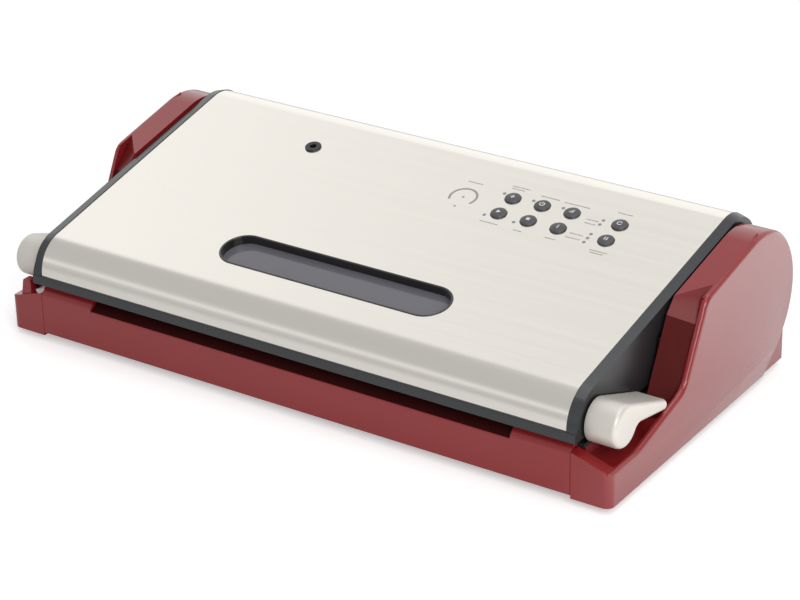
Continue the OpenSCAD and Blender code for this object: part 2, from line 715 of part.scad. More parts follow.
// Layer between two insets over the nose, the top and the rear edge
function arc(c, r, a0, a1) = let (n = ceil(abs(a1 - a0) / 3))
  [for (k = [0 : n]) c + r * [cos(a0 + (a1 - a0) * k / n), sin(a0 + (a1 - a0) * k / n)]];
function skin_pts(i) = concat(arc([nose_y, nose_z], nose_r - i, 181, 90 + tilt),
  arc([hinge_y, hinge_z], crest_r - i, 90 + tilt, 10));
module skin_2d(outer, inner) {
  back = skin_pts(inner);
  polygon(concat(skin_pts(outer), [for (k = [len(back) - 1 : -1 : 0]) back[k]]));
}

// Places of the buttons and light pipes as [x, s] on the slope
button_rows = [button_s, button_s + button_ps];
button_xs = [button_x, button_x + button_px, button_x + 2 * button_px, button_last_x];
function button_at(k) = [button_xs[k % 4], button_rows[floor(k / 4)]];
pipes = [for (k = [0, 1]) [button_xs[k] - 7.3, button_rows[0] - 4.1],
  for (k = [0 : 2]) [button_xs[k] - 7.3, button_rows[1] + 2.7],
  for (d = [-5.8, -1.6, 2.4]) [button_last_x - 11, button_rows[0] + d],
  for (d = [-3.5, 0.7]) [button_last_x - 11, button_rows[1] + d]];
stem_depth = shell + 3.7;
plunger_depth = stem_depth + button_travel + fit;
pcb_depth = plunger_depth + 4.3;
pcb_x = [8, 146];
pcb_s = [button_s - 15.8, button_s + 30.2];
pcb_posts = [[pcb_x[0] + 6, pcb_s[0] + 6], [pcb_x[1] - 6, pcb_s[0] + 6],
  [pcb_x[0] + 6, pcb_s[1] - 6], [pcb_x[1] - 6, pcb_s[1] - 6]];
post_x = lid_x - 34.6;
tray_posts = [[post_x, step_y + 14], [post_x, tray_end - 14]];
strip_ribs = [bar_l / 2 - 72, bar_l / 2 - 12];
port_r = port_d / 2 - 1.5;
port_depth = 12;
pane_y = trough_y + 12;
pane_l = window_l;
pane_w = 22;

// Openings through the top of the lid
module top_openings(clear) {
  on_slope(0, window_s) stadium(window_l, window_w, -shell - 4 * lens_t, 2);
  for (k = [0 : 7]) on_slope(button_at(k)[0], button_at(k)[1])
    translate([0, 0, -shell - 1]) cylinder(h = shell + 3, r = button_d / 2 + fit);
  for (p = pipes) on_slope(p[0], p[1]) translate([0, 0, -shell - 1]) cylinder(h = shell + 3, r = pipe_d / 2);
  on_slope(-port_x, port_s) translate([0, 0, -shell - 1]) cylinder(h = shell + 3, r = port_r + clear);
}

module lid_frame() {
  color(SLATE) placed() difference() {
    union() {
      difference() {
        union() {
          along_x(-lid_x, lid_x) lid_outline(-edge_proud);
          along_x(-lid_x, lid_x) polygon(rounded([[front_min, lid_z, 0.6],
            [front_min, nose_z - 0.4, 0.8], [nose_y, nose_z - 0.4, 0], [nose_y, lid_z, 0]]));
        }
        along_x(-steel_x, steel_x) skin_2d(-2, steel_t);
        along_x(-wall_x, wall_x) lid_outline(shell);
        box([-wall_x, wall_x], [inner_front, inner_step], [lid_z - 1, lid_z + liner_t]);
        box([-wall_x, wall_x], [inner_step + 1, tray_end], [rear_z - 1, rear_z + liner_t]);
      }
      both_sides() {
        rod_x(lid_x - 12.6, lid_x - 0.5, hinge_y, hinge_z, 9);
        for (x = strip_ribs) along_x(x, x + 3) intersection() {
          lid_outline(steel_t + 0.5);
          translate([nose_y - 8, lid_z + liner_t]) square([16, 2 * nose_r]);
        }
        for (p = tray_posts) intersection() {
          rod_z(p[0], p[1], rear_z + liner_t, rear_z + 3 * crest_r, 3.5);
          along_x(0, lid_x) lid_outline(steel_t + 0.5);
        }
      }
      for (p = pcb_posts) on_slope(p[0], p[1]) translate([0, 0, -pcb_depth])
        cylinder(h = pcb_depth - shell + 0.5, r = 3);
    }
    rod_x(-lid_x - 1, lid_x + 1, hinge_y, hinge_z, pin_d / 2 + run_gap);
    rod_x(-lid_x - 1, lid_x + 1, nose_y, nose_z, shaft_d / 2 + run_gap);
    both_sides() for (p = tray_posts) rod_z(p[0], p[1], rear_z, rear_z + liner_t + 7, 1.25);
    for (p = pcb_posts) on_slope(p[0], p[1]) translate([0, 0, -pcb_depth - 1]) cylinder(h = 6.5, r = 1.25);
    top_openings(0);
  }
}

module lid_cover() {
  color(STEEL) placed() difference() {
    along_x(-steel_x, steel_x) skin_2d(0, steel_t);
    top_openings(snug);
  }
}

module chamber_liner() {
  color(BLACK) placed() difference() {
    box([-wall_x, wall_x], [inner_front, inner_step], [lid_z, lid_z + liner_t]);
    both_sides() box([hook_x - hook_t / 2 - 1.1, hook_x + hook_t / 2 + 1.1],
      [nose_y - 9, nose_y + hook_r + 2.5], [lid_z - 1, lid_z + liner_t + 1]);
    translate([0, pane_y, 0]) stadium(pane_l, pane_w, lid_z - 1, lid_z + liner_t + 1);
    rod_z(-port_x, hose_drop_y, lid_z - 1, lid_z + liner_t + 1, 1.5);
  }
}
module viewing_pane() {
  color("#c8d4d6", 0.5) placed() translate([0, pane_y, 0])
    stadium(pane_l - 2 * snug, pane_w - 2 * snug, lid_z, lid_z + liner_t);
}
module lid_rear_tray() {
  color(BLACK) placed() difference() {
    box([-wall_x, wall_x], [inner_step + 1, tray_end], [rear_z, rear_z + liner_t]);
    both_sides() for (p = tray_posts) rod_z(p[0], p[1], rear_z - 1, rear_z + liner_t + 1, 1.25 + 0.2);
  }
}

module window_bezel() {
  inner_l = window_l - 2 * bezel_wall;
  inner_w = window_w - 2 * bezel_wall;
  floor_z = -lens_depth - lens_t;
  color(BLACK) placed() on_slope(0, window_s) difference() {
    stadium(window_l, window_w, floor_z - 1.2, 0.3);
    stadium(inner_l, inner_w, floor_z, 1);
    stadium(inner_l - 3, inner_w - 3, floor_z - 2, 1);
  }
}
module window_lens() {
  color("#6e6e74", 0.6) placed() on_slope(0, window_s)
    stadium(window_l - 2 * bezel_wall, window_w - 2 * bezel_wall, -lens_depth - lens_t, -lens_depth);
}

module accessory_port() {
  color(BLACK) placed() on_slope(-port_x, port_s) difference() {
    union() {
      translate([0, 0, -port_depth]) cylinder(h = port_depth + 0.5, r = port_r);
      rotate_extrude() polygon(rounded([[0, 0, 0], [port_d / 2, 0, 0], [port_d / 2, 1, 0.5], [0, 1, 0]]));
    }
    translate([0, 0, -port_depth - 1]) cylinder(h = port_depth + 3, r = port_bore / 2);
  }
}
// Hose from the port over the rear tray and down to the chamber
hose_run_z = rear_z + liner_t + 3.5;
hose_drop_y = inner_step - 11;
port_bend = depth_to(hose_run_z, port_s);
port_bend_y = nose_t(0)[0] + port_s * cos(tilt) + port_bend * sin(tilt);
module hose_path(r, top, bottom) {
  on_slope(-port_x, port_s) translate([0, 0, -port_bend]) cylinder(h = port_bend - top, r = r);
  rod_y(-port_x, hose_drop_y, port_bend_y, hose_run_z, r);
  rod_z(-port_x, hose_drop_y, bottom, hose_run_z, r);
  for (y = [hose_drop_y, port_bend_y]) translate([-port_x, y, hose_run_z]) sphere(r = r);
}
module port_hose() {
  color(BLACK) placed() difference() {
    hose_path(2.8, port_depth, lid_z + liner_t);
    hose_path(1.5, port_depth - 1, lid_z);
  }
}

module control_board() {
  color("#2f6b45") placed() difference() {
    on_slope(0, 0) box(pcb_x, pcb_s, [-pcb_depth - board_t, -pcb_depth]);
    for (p = pcb_posts) on_slope(p[0], p[1]) translate([0, 0, -pcb_depth - board_t - 1])
      cylinder(h = board_t + 2, r = 1.25 + 0.1);
  }
}
module button_switches() {
  color("#7a7d80") placed() for (k = [0 : 7]) on_slope(button_at(k)[0], button_at(k)[1]) {
    box([-3, 3], [-3, 3], [-pcb_depth, -plunger_depth - 1]);
    translate([0, 0, -plunger_depth - 1 - eps]) cylinder(h = 1 + eps, r = 1.7);
  }
}
module light_pipes() {
  color("#e8e6da") placed() for (p = pipes) on_slope(p[0], p[1])
    translate([0, 0, -pcb_depth]) cylinder(h = pcb_depth + 0.15, r = pipe_d / 2);
}
module lid_screws() {
  color(ZINC) placed() {
    for (p = pcb_posts) on_slope(p[0], p[1]) {
      translate([0, 0, -pcb_depth - board_t - 1.6]) cylinder(h = 1.6, r = 2.5);
      translate([0, 0, -pcb_depth - board_t - eps]) cylinder(h = board_t + 5, r = 1.25 - snug);
    }
    both_sides() for (p = tray_posts) {
      rod_z(p[0], p[1], rear_z - 1.2, rear_z, 2.5);
      rod_z(p[0], p[1], rear_z - eps, rear_z + liner_t + 6, 1.25 - snug);
    }
  }
}

// ---- Buttons ----
module button(k) {
  dome = 0.6;
  dome_r = (pow(button_d / 2, 2) + dome * dome) / (2 * dome);
  flange_top = -shell - fit;
  color(SLATE) placed() on_slope(button_at(k)[0], button_at(k)[1]) {
    intersection() {
      translate([0, 0, flange_top - 1]) cylinder(h = button_h - flange_top + 1, r = button_d / 2);
      translate([0, 0, button_h - dome_r]) sphere(r = dome_r);
    }
    translate([0, 0, flange_top - 1]) cylinder(h = 1, r = button_d / 2 + 1.3);
    translate([0, 0, -stem_depth]) cylinder(h = stem_depth, r = 2.5);
  }
}
module button_1() { button(0); }
module button_2() { button(1); }
module button_3() { button(2); }
module button_4() { button(3); }
module button_5() { button(4); }
module button_6() { button(5); }
module button_7() { button(6); }
module button_8() { button(7); }

// ---- Lock ----
module lock_shaft() {
  color(ZINC) placed() rod_x(-half_w + 5, half_w - 5, nose_y, nose_z, shaft_d / 2);
}
// Hook in the locked position, stopping short of the strike pin
claw = [-102, -75];
module hook_2d() {
  mid = (claw[1] + claw[0]) / 2 + 6;
  edge = 2 * hook_r;
  difference() {
    union() {
      circle(r = shaft_d / 2 + 3.5);
      intersection() {
        circle(r = hook_r);
        rotate(mid) translate([0, -3]) square([edge, 6]);
      }
      intersection() {
        difference() {
          circle(r = hook_r);
          circle(r = hook_r - 3);
        }
        polygon([[0, 0], edge * [cos(claw[0]), sin(claw[0])], edge * [cos(claw[1]), sin(claw[1])]]);
      }
    }
    circle(r = shaft_d / 2 + snug);
  }
}
module lock_hooks() {
  color(ZINC) placed() both_sides() along_x(hook_x - hook_t / 2, hook_x + hook_t / 2)
    translate([nose_y, nose_z]) hook_2d();
}
// Round nose set forward of the shaft, tail with a straight back, and a throat that touches the nose
lever_dip = 8.6;
lever_c = [-2.6, 0.9];
throat_r = 6;
throat_turn = -36;
tail = lever_l * [cos(lever_dip), -sin(lever_dip)];
throat = lever_c + (lever_r + throat_r) * [cos(throat_turn), sin(throat_turn)];
function heading(v) = atan2(v[1], v[0]);
back_turn = heading(tail - lever_c) + acos((lever_r - tip_r) / norm(tail - lever_c));
under_turn = heading(tail - throat) + acos((throat_r + tip_r) / norm(tail - throat));
function lever_pts(i) = concat(arc(lever_c, lever_r - i, back_turn, 360 + throat_turn),
  arc(throat, throat_r + i, 180 + throat_turn, under_turn),
  arc(tail, tip_r - i, under_turn - 180, back_turn));
module lever_2d(i) { translate([nose_y, nose_z]) polygon(lever_pts(i)); }
lever_x = [lid_x + 0.8, half_w - 0.6];
module right_handle() {
  difference() {
    union() {
      along_x(lever_x[0], lever_x[1] - 3) lever_2d(0);
      along_x(lever_x[0] + 1, lever_x[1] - 1.2) lever_2d(0.8);
      along_x(lever_x[0] + 2, lever_x[1]) lever_2d(2.2);
    }
    rod_x(lever_x[0] - 1, half_w - 5, nose_y, nose_z, shaft_d / 2 + snug);
  }
}
module right_lever() { color(SATIN) placed() right_handle(); }
module left_lever() { color(SATIN) placed() mirror([1, 0, 0]) right_handle(); }

bottom_pan();
front_apron();
left_cheek();
right_cheek();
chamber_deck();
rear_deck();
rear_cover();
feet();
base_screws();
hinge_pins();
lower_gasket();
sealing_bar();
heating_element();
release_tape();
strikes();
pump_bracket();
motor_can();
motor_rotor();
pump_head();
vacuum_hose();
release_valve();
power_board();
transformer();
board_parts();
power_inlet();
inlet_pins();
lid_switch();
lid_frame();
lid_cover();
chamber_liner();
lid_rear_tray();
viewing_pane();
upper_gasket();
pressure_strip();
window_bezel();
window_lens();
accessory_port();
port_hose();
control_board();
button_switches();
light_pipes();
lid_screws();
lock_shaft();
lock_hooks();
left_lever();
right_lever();
button_1();
button_2();
button_3();
button_4();
button_5();
button_6();
button_7();
button_8();
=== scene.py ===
"""Dresses a domestic vacuum sealer: finished surfaces, materials, light and camera.

Lengths are in metres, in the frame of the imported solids: X to the right along the sealing bar,
Y to the hinge at the rear, Z up, origin under the middle on the plane of the feet.
"""

import json
import logging
import math
from dataclasses import dataclass, field
from enum import Enum
from typing import Callable, Iterable, Sequence

import bmesh
import bpy
import numpy as np
from mathutils import Matrix, Vector

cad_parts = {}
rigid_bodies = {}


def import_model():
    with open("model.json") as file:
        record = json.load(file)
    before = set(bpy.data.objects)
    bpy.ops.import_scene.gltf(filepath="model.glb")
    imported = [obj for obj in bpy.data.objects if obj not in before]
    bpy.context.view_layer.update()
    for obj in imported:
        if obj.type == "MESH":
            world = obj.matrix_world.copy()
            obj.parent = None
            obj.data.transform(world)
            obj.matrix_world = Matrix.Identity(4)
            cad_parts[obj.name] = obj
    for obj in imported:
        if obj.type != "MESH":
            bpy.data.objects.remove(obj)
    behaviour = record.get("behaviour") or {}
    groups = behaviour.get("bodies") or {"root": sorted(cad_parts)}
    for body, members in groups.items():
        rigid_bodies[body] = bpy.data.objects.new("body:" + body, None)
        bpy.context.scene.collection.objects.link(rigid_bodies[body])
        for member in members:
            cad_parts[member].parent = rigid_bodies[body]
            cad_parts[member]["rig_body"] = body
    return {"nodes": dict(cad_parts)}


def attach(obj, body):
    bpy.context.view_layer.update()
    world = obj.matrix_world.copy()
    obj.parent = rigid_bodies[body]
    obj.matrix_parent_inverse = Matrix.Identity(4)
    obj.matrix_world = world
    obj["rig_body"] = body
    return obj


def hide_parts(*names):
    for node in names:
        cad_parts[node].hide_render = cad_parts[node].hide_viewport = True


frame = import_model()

log = logging.getLogger("sealer")
MM = 0.001
CUT_MARGIN = 0.0009  # metres beside a cut in which no edge is rounded
NEARLY_PARALLEL = 0.995  # cosine of about 6 degrees
Put = Callable[[np.ndarray], np.ndarray]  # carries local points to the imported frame
VECTOR, COLOUR, NUMBER = "NodeSocketVector", "NodeSocketColor", "NodeSocketFloat"


# ---- Sizes -------------------------------------------------------------------------------------
@dataclass(frozen=True)
class Layout:
    """Driving sizes of the machine in millimetres, measured from the front face and the pan's underside."""

    mid_y: float = 104.85
    foot: float = 4.0
    nose: tuple[float, float] = (20.5, 40.5)
    nose_r: float = 21.0
    hinge: tuple[float, float] = (177.0, 70.0)
    crest_r: float = 24.0
    lid_x: float = 184.6
    half_w: float = 205.0

    @property
    def tilt(self) -> float:
        """Slope of the lid's top in radians, from the two circles that it touches."""
        dy, dz = self.hinge[0] - self.nose[0], self.hinge[1] - self.nose[1]
        return math.atan2(dz, dy) + math.asin((self.crest_r - self.nose_r) / math.hypot(dy, dz))

    @property
    def touch(self) -> tuple[float, float]:
        """Point (y, z) where the sloping top leaves the round nose."""
        return (self.nose[0] - self.nose_r * math.sin(self.tilt), self.nose[1] + self.nose_r * math.cos(self.tilt))

    def place(self, points: np.ndarray) -> np.ndarray:
        """Moves points from the front-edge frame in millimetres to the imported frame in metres.

        Args:
            points: Array of shape (..., 3).

        Returns:
            Array of the same shape.
        """
        return (points + np.array([0.0, -self.mid_y, self.foot])) * MM

    def on_slope(self, local: np.ndarray) -> np.ndarray:
        """Carries points (x, way up the slope, height over the steel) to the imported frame.

        Each point is the touch line plus its second number along the slope plus its third along the
        slope's normal.

        Args:
            local: Array of shape (..., 3) in millimetres.

        Returns:
            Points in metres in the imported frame.
        """
        c, s = math.cos(self.tilt), math.sin(self.tilt)
        y = self.touch[0] + local[..., 1] * c - local[..., 2] * s
        z = self.touch[1] + local[..., 1] * s + local[..., 2] * c
        return self.place(np.stack([local[..., 0], y, z], axis=-1))


LAYOUT = Layout()


# ---- Mesh tools --------------------------------------------------------------------------------
def new_object(name: str, points: np.ndarray, faces: Iterable[Sequence[int]],
               smooth_deg: float = 35.0) -> bpy.types.Object:
    """Makes a mesh object whose place is in its mesh.

    Args:
        name: Name of the piece.
        points: Array (n, 3) in metres.
        faces: Corner numbers of each face, outward by the right-hand rule.
        smooth_deg: Edges that turn by more than this stay sharp.

    Returns:
        The new object, linked to the scene.
    """
    mesh = bpy.data.meshes.new(name)
    mesh.from_pydata(points.reshape(-1, 3).tolist(), [], [list(map(int, f)) for f in faces])
    mesh.validate()
    mesh.shade_smooth()
    mesh.set_sharp_from_angle(angle=math.radians(smooth_deg))
    obj = bpy.data.objects.new(name, mesh)
    bpy.context.scene.collection.objects.link(obj)
    return obj


def grid_faces(rows: int, cols: int, wrap_rows: bool = False, wrap_cols: bool = False, start: int = 0) -> np.ndarray:
    """Quads of a grid whose point (i, j) has the number start + i * cols + j.

    Args:
        rows: Number of rows of points.
        cols: Number of columns of points.
        wrap_rows: Joins the last row to the first.
        wrap_cols: Joins the last column to the first.
        start: Number of the first point.

    Returns:
        Array (n, 4) of corner numbers.
    """
    i = np.arange(rows if wrap_rows else rows - 1)
    j = np.arange(cols if wrap_cols else cols - 1)
    a, b = np.meshgrid(i, j, indexing="ij")
    a2, b2 = (a + 1) % rows, (b + 1) % cols
    quads = np.stack([a * cols + b, a2 * cols + b, a2 * cols + b2, a * cols + b2], axis=-1)
    return quads.reshape(-1, 4) + start


def faced_out(obj: bpy.types.Object, join: float = 1e-7) -> bpy.types.Object:
    """Joins doubled points and turns every face of a closed mesh outwards.

    Args:
        obj: Mesh object.
        join: Distance below which points are joined.

    Returns:
        The same object.
    """
    bm = bmesh.new()
    bm.from_mesh(obj.data)
    bmesh.ops.remove_doubles(bm, verts=bm.verts, dist=join)
    bmesh.ops.recalc_face_normals(bm, faces=bm.faces)
    bm.to_mesh(obj.data)
    bm.free()
    return obj


def closed_object(name: str, points: np.ndarray, faces: Iterable[Sequence[int]],
                  smooth_deg: float = 35.0) -> bpy.types.Object:
    """Makes a closed mesh object whose faces all look outwards.

    Args:
        name: Name of the piece.
        points: Array (n, 3) in metres.
        faces: Corner numbers of each face, either way round.
        smooth_deg: Angle above which edges stay sharp.

    Returns:
        The new object.
    """
    obj = faced_out(new_object(name, points, faces, smooth_deg))
    obj.data.set_sharp_from_angle(angle=math.radians(smooth_deg))
    return obj


def swept(section: np.ndarray, path: np.ndarray, outward: np.ndarray) -> np.ndarray:
    """Grid of a section carried along a flat path: (o, h) at path point p goes to (p + o n, h).

    Args:
        section: Array (m, 2) of outward offset and height.
        path: Array (n, 2) of path points.
        outward: Array (n, 2) of the outward direction n at each path point.

    Returns:
        Array (n, m, 3).
    """
    flat = path[:, None, :] + section[None, :, :1] * outward[:, None, :]
    return np.concatenate([flat, np.broadcast_to(section[None, :, 1:], flat.shape[:2] + (1,))], axis=-1)


def outward_of(path: np.ndarray) -> np.ndarray:
    """Unit outward directions of a closed path that runs the other way round from a clock's hands."""
    ahead, behind = np.roll(path, -1, 0) - path, path - np.roll(path, 1, 0)
    along = ahead / np.linalg.norm(ahead, axis=1)[:, None] + behind / np.linalg.norm(behind, axis=1)[:, None]
    along /= np.linalg.norm(along, axis=1)[:, None]
    return np.stack([along[:, 1], -along[:, 0]], axis=-1)


def lofted(name: str, x: np.ndarray, rings: np.ndarray, smooth_deg: float = 35.0) -> bpy.types.Object:
    """Solid through closed outlines at places along X, with a flat cap at each end.

    Args:
        name: Name of the piece.
        x: Array (m,) of places in millimetres.
        rings: Array (m, n, 2) of outline points (y, z), from the front face and the pan's underside.
        smooth_deg: Angle above which edges stay sharp.

    Returns:
        The new object.
    """
    m, n = rings.shape[:2]
    grid = np.concatenate([np.broadcast_to(x[:, None, None], (m, n, 1)), rings], axis=-1)
    faces = grid_faces(m, n, wrap_cols=True).tolist() + [list(range(n)), list(range((m - 1) * n, m * n))]
    return closed_object(name, LAYOUT.place(grid), faces, smooth_deg)


def on_circle(a: np.ndarray) -> np.ndarray:
    """Points (cos a, sin a) of the unit circle, shape (..., 2)."""
    return np.stack([np.cos(a), np.sin(a)], axis=-1)


def turned(name: str, profile: np.ndarray, put: Put, steps: int = 48, smooth_deg: float = 35.0) -> bpy.types.Object:
    """Surface of revolution: profile point (r, h) goes to (r cos a, r sin a, h) for every angle a.

    Args:
        name: Name of the piece.
        profile: Array (n, 2) of radius and height, both ends on the axis for a closed solid.
        put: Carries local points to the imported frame.
        steps: Points round the axis.
        smooth_deg: Angle above which edges stay sharp.

    Returns:
        The new object.
    """
    a = np.linspace(0, 2 * np.pi, steps, endpoint=False)
    r, h = profile[:, 0][:, None], profile[:, 1][:, None]
    grid = np.stack([r * np.cos(a), r * np.sin(a), h + 0 * a], axis=-1)
    return closed_object(name, put(grid), grid_faces(len(profile), steps, wrap_cols=True), smooth_deg)


def carried(name: str, section: np.ndarray, path: np.ndarray, outward: np.ndarray, put: Put,
            smooth_deg: float = 35.0) -> bpy.types.Object:
    """Closed section carried round a closed flat path.

    Args:
        name: Name of the piece.
        section: Array (m, 2), closed, of outward offset and height.
        path: Array (n, 2) of path points.
        outward: Array (n, 2) of outward directions, not of unit length at corners.
        put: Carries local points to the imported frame.
        smooth_deg: Angle above which edges stay sharp.

    Returns:
        The new object.
    """
    faces = grid_faces(len(path), len(section), wrap_rows=True, wrap_cols=True)
    return closed_object(name, put(swept(section, path, outward)), faces, smooth_deg)


def fillet(corners: Sequence[tuple[float, float, float]], closed: bool = True, step_deg: float = 9.0) -> np.ndarray:
    """Outline whose corners (u, v, radius) are replaced by arcs that touch both sides.

    The arc's centre lies on the corner's bisector at radius / sin(half angle), and its points run from
    one touch point to the other at equal angles.

    Args:
        corners: Corner points with their radii; a radius of 0 keeps the corner.
        closed: Whether the last corner joins the first.
        step_deg: Largest angle between arc points.

    Returns:
        Array (n, 2).
    """
    out: list[np.ndarray] = []
    n = len(corners)
    for k, (u, v, r) in enumerate(corners):
        p = np.array([u, v])
        if r <= 0 or (not closed and k in (0, n - 1)):
            out.append(p[None])
            continue
        before, after = np.array(corners[k - 1][:2]) - p, np.array(corners[(k + 1) % n][:2]) - p
        before, after = before / np.linalg.norm(before), after / np.linalg.norm(after)
        half = math.acos(float(np.clip(before @ after, -1, 1))) / 2
        bisector = (before + after) / np.linalg.norm(before + after)
        centre = p + bisector * r / math.sin(half)
        touching = (p + before * r / math.tan(half), p + after * r / math.tan(half))
        a0, a1 = (math.atan2(*(q - centre)[::-1]) for q in touching)
        sweep = (a1 - a0 + math.pi) % (2 * math.pi) - math.pi
        t = a0 + sweep * np.linspace(0, 1, max(2, math.ceil(abs(math.degrees(sweep)) / step_deg) + 1))
        out.append(centre + r * on_circle(t))
    return np.concatenate(out)


def slot_path(length: float, width: float, arc: int = 28) -> tuple[np.ndarray, np.ndarray]:
    """Round-ended slot: two half circles of radius width / 2 joined by straight sides.

    Args:
        length: Overall length.
        width: Overall width.
        arc: Steps on each end.

    Returns:
        Points (n, 2) and their outward directions (n, 2).
    """
    r, h = width / 2, (length - width) / 2
    a = np.linspace(-np.pi / 2, np.pi / 2, arc + 1)
    ring = np.concatenate([a, a + np.pi])
    out = on_circle(ring)
    middle = np.where(np.arange(len(ring)) <= arc, h, -h)
    return np.stack([middle + r * out[:, 0], r * out[:, 1]], axis=-1), out


def softened(node: str, edge: float, segments: int = 3, angle: float = 32.0, flat_deg: float = 1.0,
             cut: float | None = None) -> bpy.types.Object:
    """Copy of a solid with its loose triangles joined, flat faces merged and outer edges rounded.

    Args:
        node: Name of the solid that the copy stands for.
        edge: Width of the rounding in metres; 0 leaves the edges sharp.
        segments: Facets across each rounding.
        angle: Edges that turn by less than this many degrees are part of a smooth surface.
        flat_deg: Faces that meet at less than this are merged.
        cut: Place along X in metres beyond which the copy is cut off and closed, if it is.

    Returns:
        The new object, which replaces the node and rides on its body.
    """
    source = frame["nodes"][node]
    bm = bmesh.new()
    bm.from_mesh(source.data)
    bmesh.ops.remove_doubles(bm, verts=bm.verts, dist=2e-6)
    if cut is not None:
        everything = list(bm.verts) + list(bm.edges) + list(bm.faces)
        bmesh.ops.bisect_plane(bm, geom=everything, dist=1e-6, plane_co=(cut, 0, 0),
                               plane_no=(math.copysign(1.0, cut), 0, 0), clear_outer=True)
        bmesh.ops.edgeloop_fill(bm, edges=[e for e in bm.edges if e.is_boundary])
    bmesh.ops.dissolve_limit(bm, angle_limit=math.radians(flat_deg), verts=bm.verts, edges=bm.edges)
    bm.verts.index_update()
    points = np.array([v.co for v in bm.verts])
    faces = [[v.index for v in f.verts] for f in bm.faces]
    bm.free()
    obj = new_object(node + "_finished", points, faces, angle)
    if edge > 0:
        bevel = obj.modifiers.new("round_edges", "BEVEL")
        bevel.width, bevel.segments, bevel.limit_method = edge, segments, "ANGLE"
        bevel.angle_limit = math.radians(angle)
        bevel.use_clamp_overlap = True
        bevel.miter_outer = "MITER_ARC"
        if cut is not None:
            bevel.limit_method = "WEIGHT"
            weigh_edges(obj.data, math.radians(angle), abs(cut))
        obj.data.shade_smooth()
    weighted = obj.modifiers.new("even_shading", "WEIGHTED_NORMAL")
    weighted.mode, weighted.weight, weighted.keep_sharp = "FACE_AREA", 80, True
    adopt(obj, frame["nodes"][node]["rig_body"], node)
    return obj


def weigh_edges(mesh: bpy.types.Mesh, angle: float, cut: float) -> None:
    """Marks the edges to be rounded: those that turn outwards and end 0.9 mm or more before the cut.

    Args:
        mesh: Mesh of a closed solid.
        angle: Turn in radians above which an edge counts.
        cut: Distance of the cut plane from the middle, in metres.
    """
    bm = bmesh.new()
    bm.from_mesh(mesh)
    layer = bm.edges.layers.float.new("bevel_weight_edge")
    for edge in bm.edges:
        on_cut = max(abs(v.co.x) for v in edge.verts) > cut - CUT_MARGIN
        edge[layer] = float(edge.calc_face_angle_signed(0.0) > angle and not on_cut)
    bm.to_mesh(mesh)
    bm.free()


def shade_faces(mesh: bpy.types.Mesh, finishes: Sequence[tuple[Sequence[float], "Finish"]]) -> None:
    """Paints shade on the flat faces that look in a given direction, by giving them a darker finish of their own.

    Args:
        mesh: Mesh with its first material in place.
        finishes: Pairs of a unit direction and the finish for the faces within 6 degrees of it.
    """
    normals = np.empty(3 * len(mesh.polygons))
    mesh.polygons.foreach_get("normal", normals)
    shade = np.zeros(len(mesh.polygons), dtype=np.int32)
    for number, (facing, finish) in enumerate(finishes, 1):
        mesh.materials.append(finish.material())
        shade[normals.reshape(-1, 3) @ np.array(facing) > NEARLY_PARALLEL] = number
    mesh.polygons.foreach_set("material_index", shade)


def adopt(obj: bpy.types.Object, body: str, *nodes: str) -> bpy.types.Object:
    """Lets a piece ride on a body and stand for the named solids.

    Args:
        obj: The finished piece.
        body: Name of the body that carries it.
        nodes: Solids that it replaces, if any.

    Returns:
        The same object.
    """
    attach(obj, body)
    if nodes:
        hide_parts(*nodes)
    return obj


# ---- Materials ---------------------------------------------------------------------------------
class Coat(Enum):
    """Kinds of clear top layer, as (weight, roughness)."""

    NONE = (0.0, 0.1)
    THIN = (0.25, 0.12)


def group(name: str, inputs: Sequence[tuple[str, str, object]], outputs: Sequence[tuple[str, str]]) -> tuple:
    """Makes an empty shader group with named sockets.

    Args:
        name: Name of the group.
        inputs: (name, socket type, default) of each input.
        outputs: (name, socket type) of each output.

    Returns:
        The group, its input node and its output node.
    """
    tree = bpy.data.node_groups.new(name, "ShaderNodeTree")
    for label, kind, default in inputs:
        socket = tree.interface.new_socket(label, in_out="INPUT", socket_type=kind)
        if default is not None:
            socket.default_value = default
    for label, kind in outputs:
        tree.interface.new_socket(label, in_out="OUTPUT", socket_type=kind)
    return tree, tree.nodes.new("NodeGroupInput"), tree.nodes.new("NodeGroupOutput")


def wire(tree: bpy.types.NodeTree, kind: str, values: dict | None = None, **links: object) -> bpy.types.Node:
    """Adds a node, sets its properties and sockets and links its inputs.

    Args:
        tree: Node tree.
        kind: Node type without the ShaderNode prefix.
        values: Property names, or numbers of input sockets, and their values.
        links: Input socket numbers as i0, i1 and so on, and the sockets that feed them.

    Returns:
        The new node.
    """
    node = tree.nodes.new("ShaderNode" + kind)
    for key, value in (values or {}).items():
        if isinstance(key, int):
            node.inputs[key].default_value = value
        else:
            setattr(node, key, value)
    for key, socket in links.items():
        tree.links.new(socket, node.inputs[int(key[1:])])
    return node


def calc(tree: bpy.types.NodeTree, operation: str, values: dict | None = None, **links: object) -> object:
    """Adds a sum node as wire does and returns its result's socket."""
    return wire(tree, "Math", {"operation": operation, **(values or {})}, **links).outputs[0]


def steady(tree: bpy.types.NodeTree, value: float) -> object:
    """Adds a constant and returns its socket."""
    node = wire(tree, "Value")
    node.outputs[0].default_value = value
    return node.outputs[0]


def greyed(tree: bpy.types.NodeTree, colour: object, level: object) -> object:
    """Multiplies a colour by a grey level and returns the result's socket."""
    grey = wire(tree, "CombineColor", None, i0=level, i1=level, i2=level).outputs[0]
    kind = {"data_type": "RGBA", "blend_type": "MULTIPLY", 0: 1.0}
    return wire(tree, "Mix", kind, i6=colour, i7=grey).outputs[2]


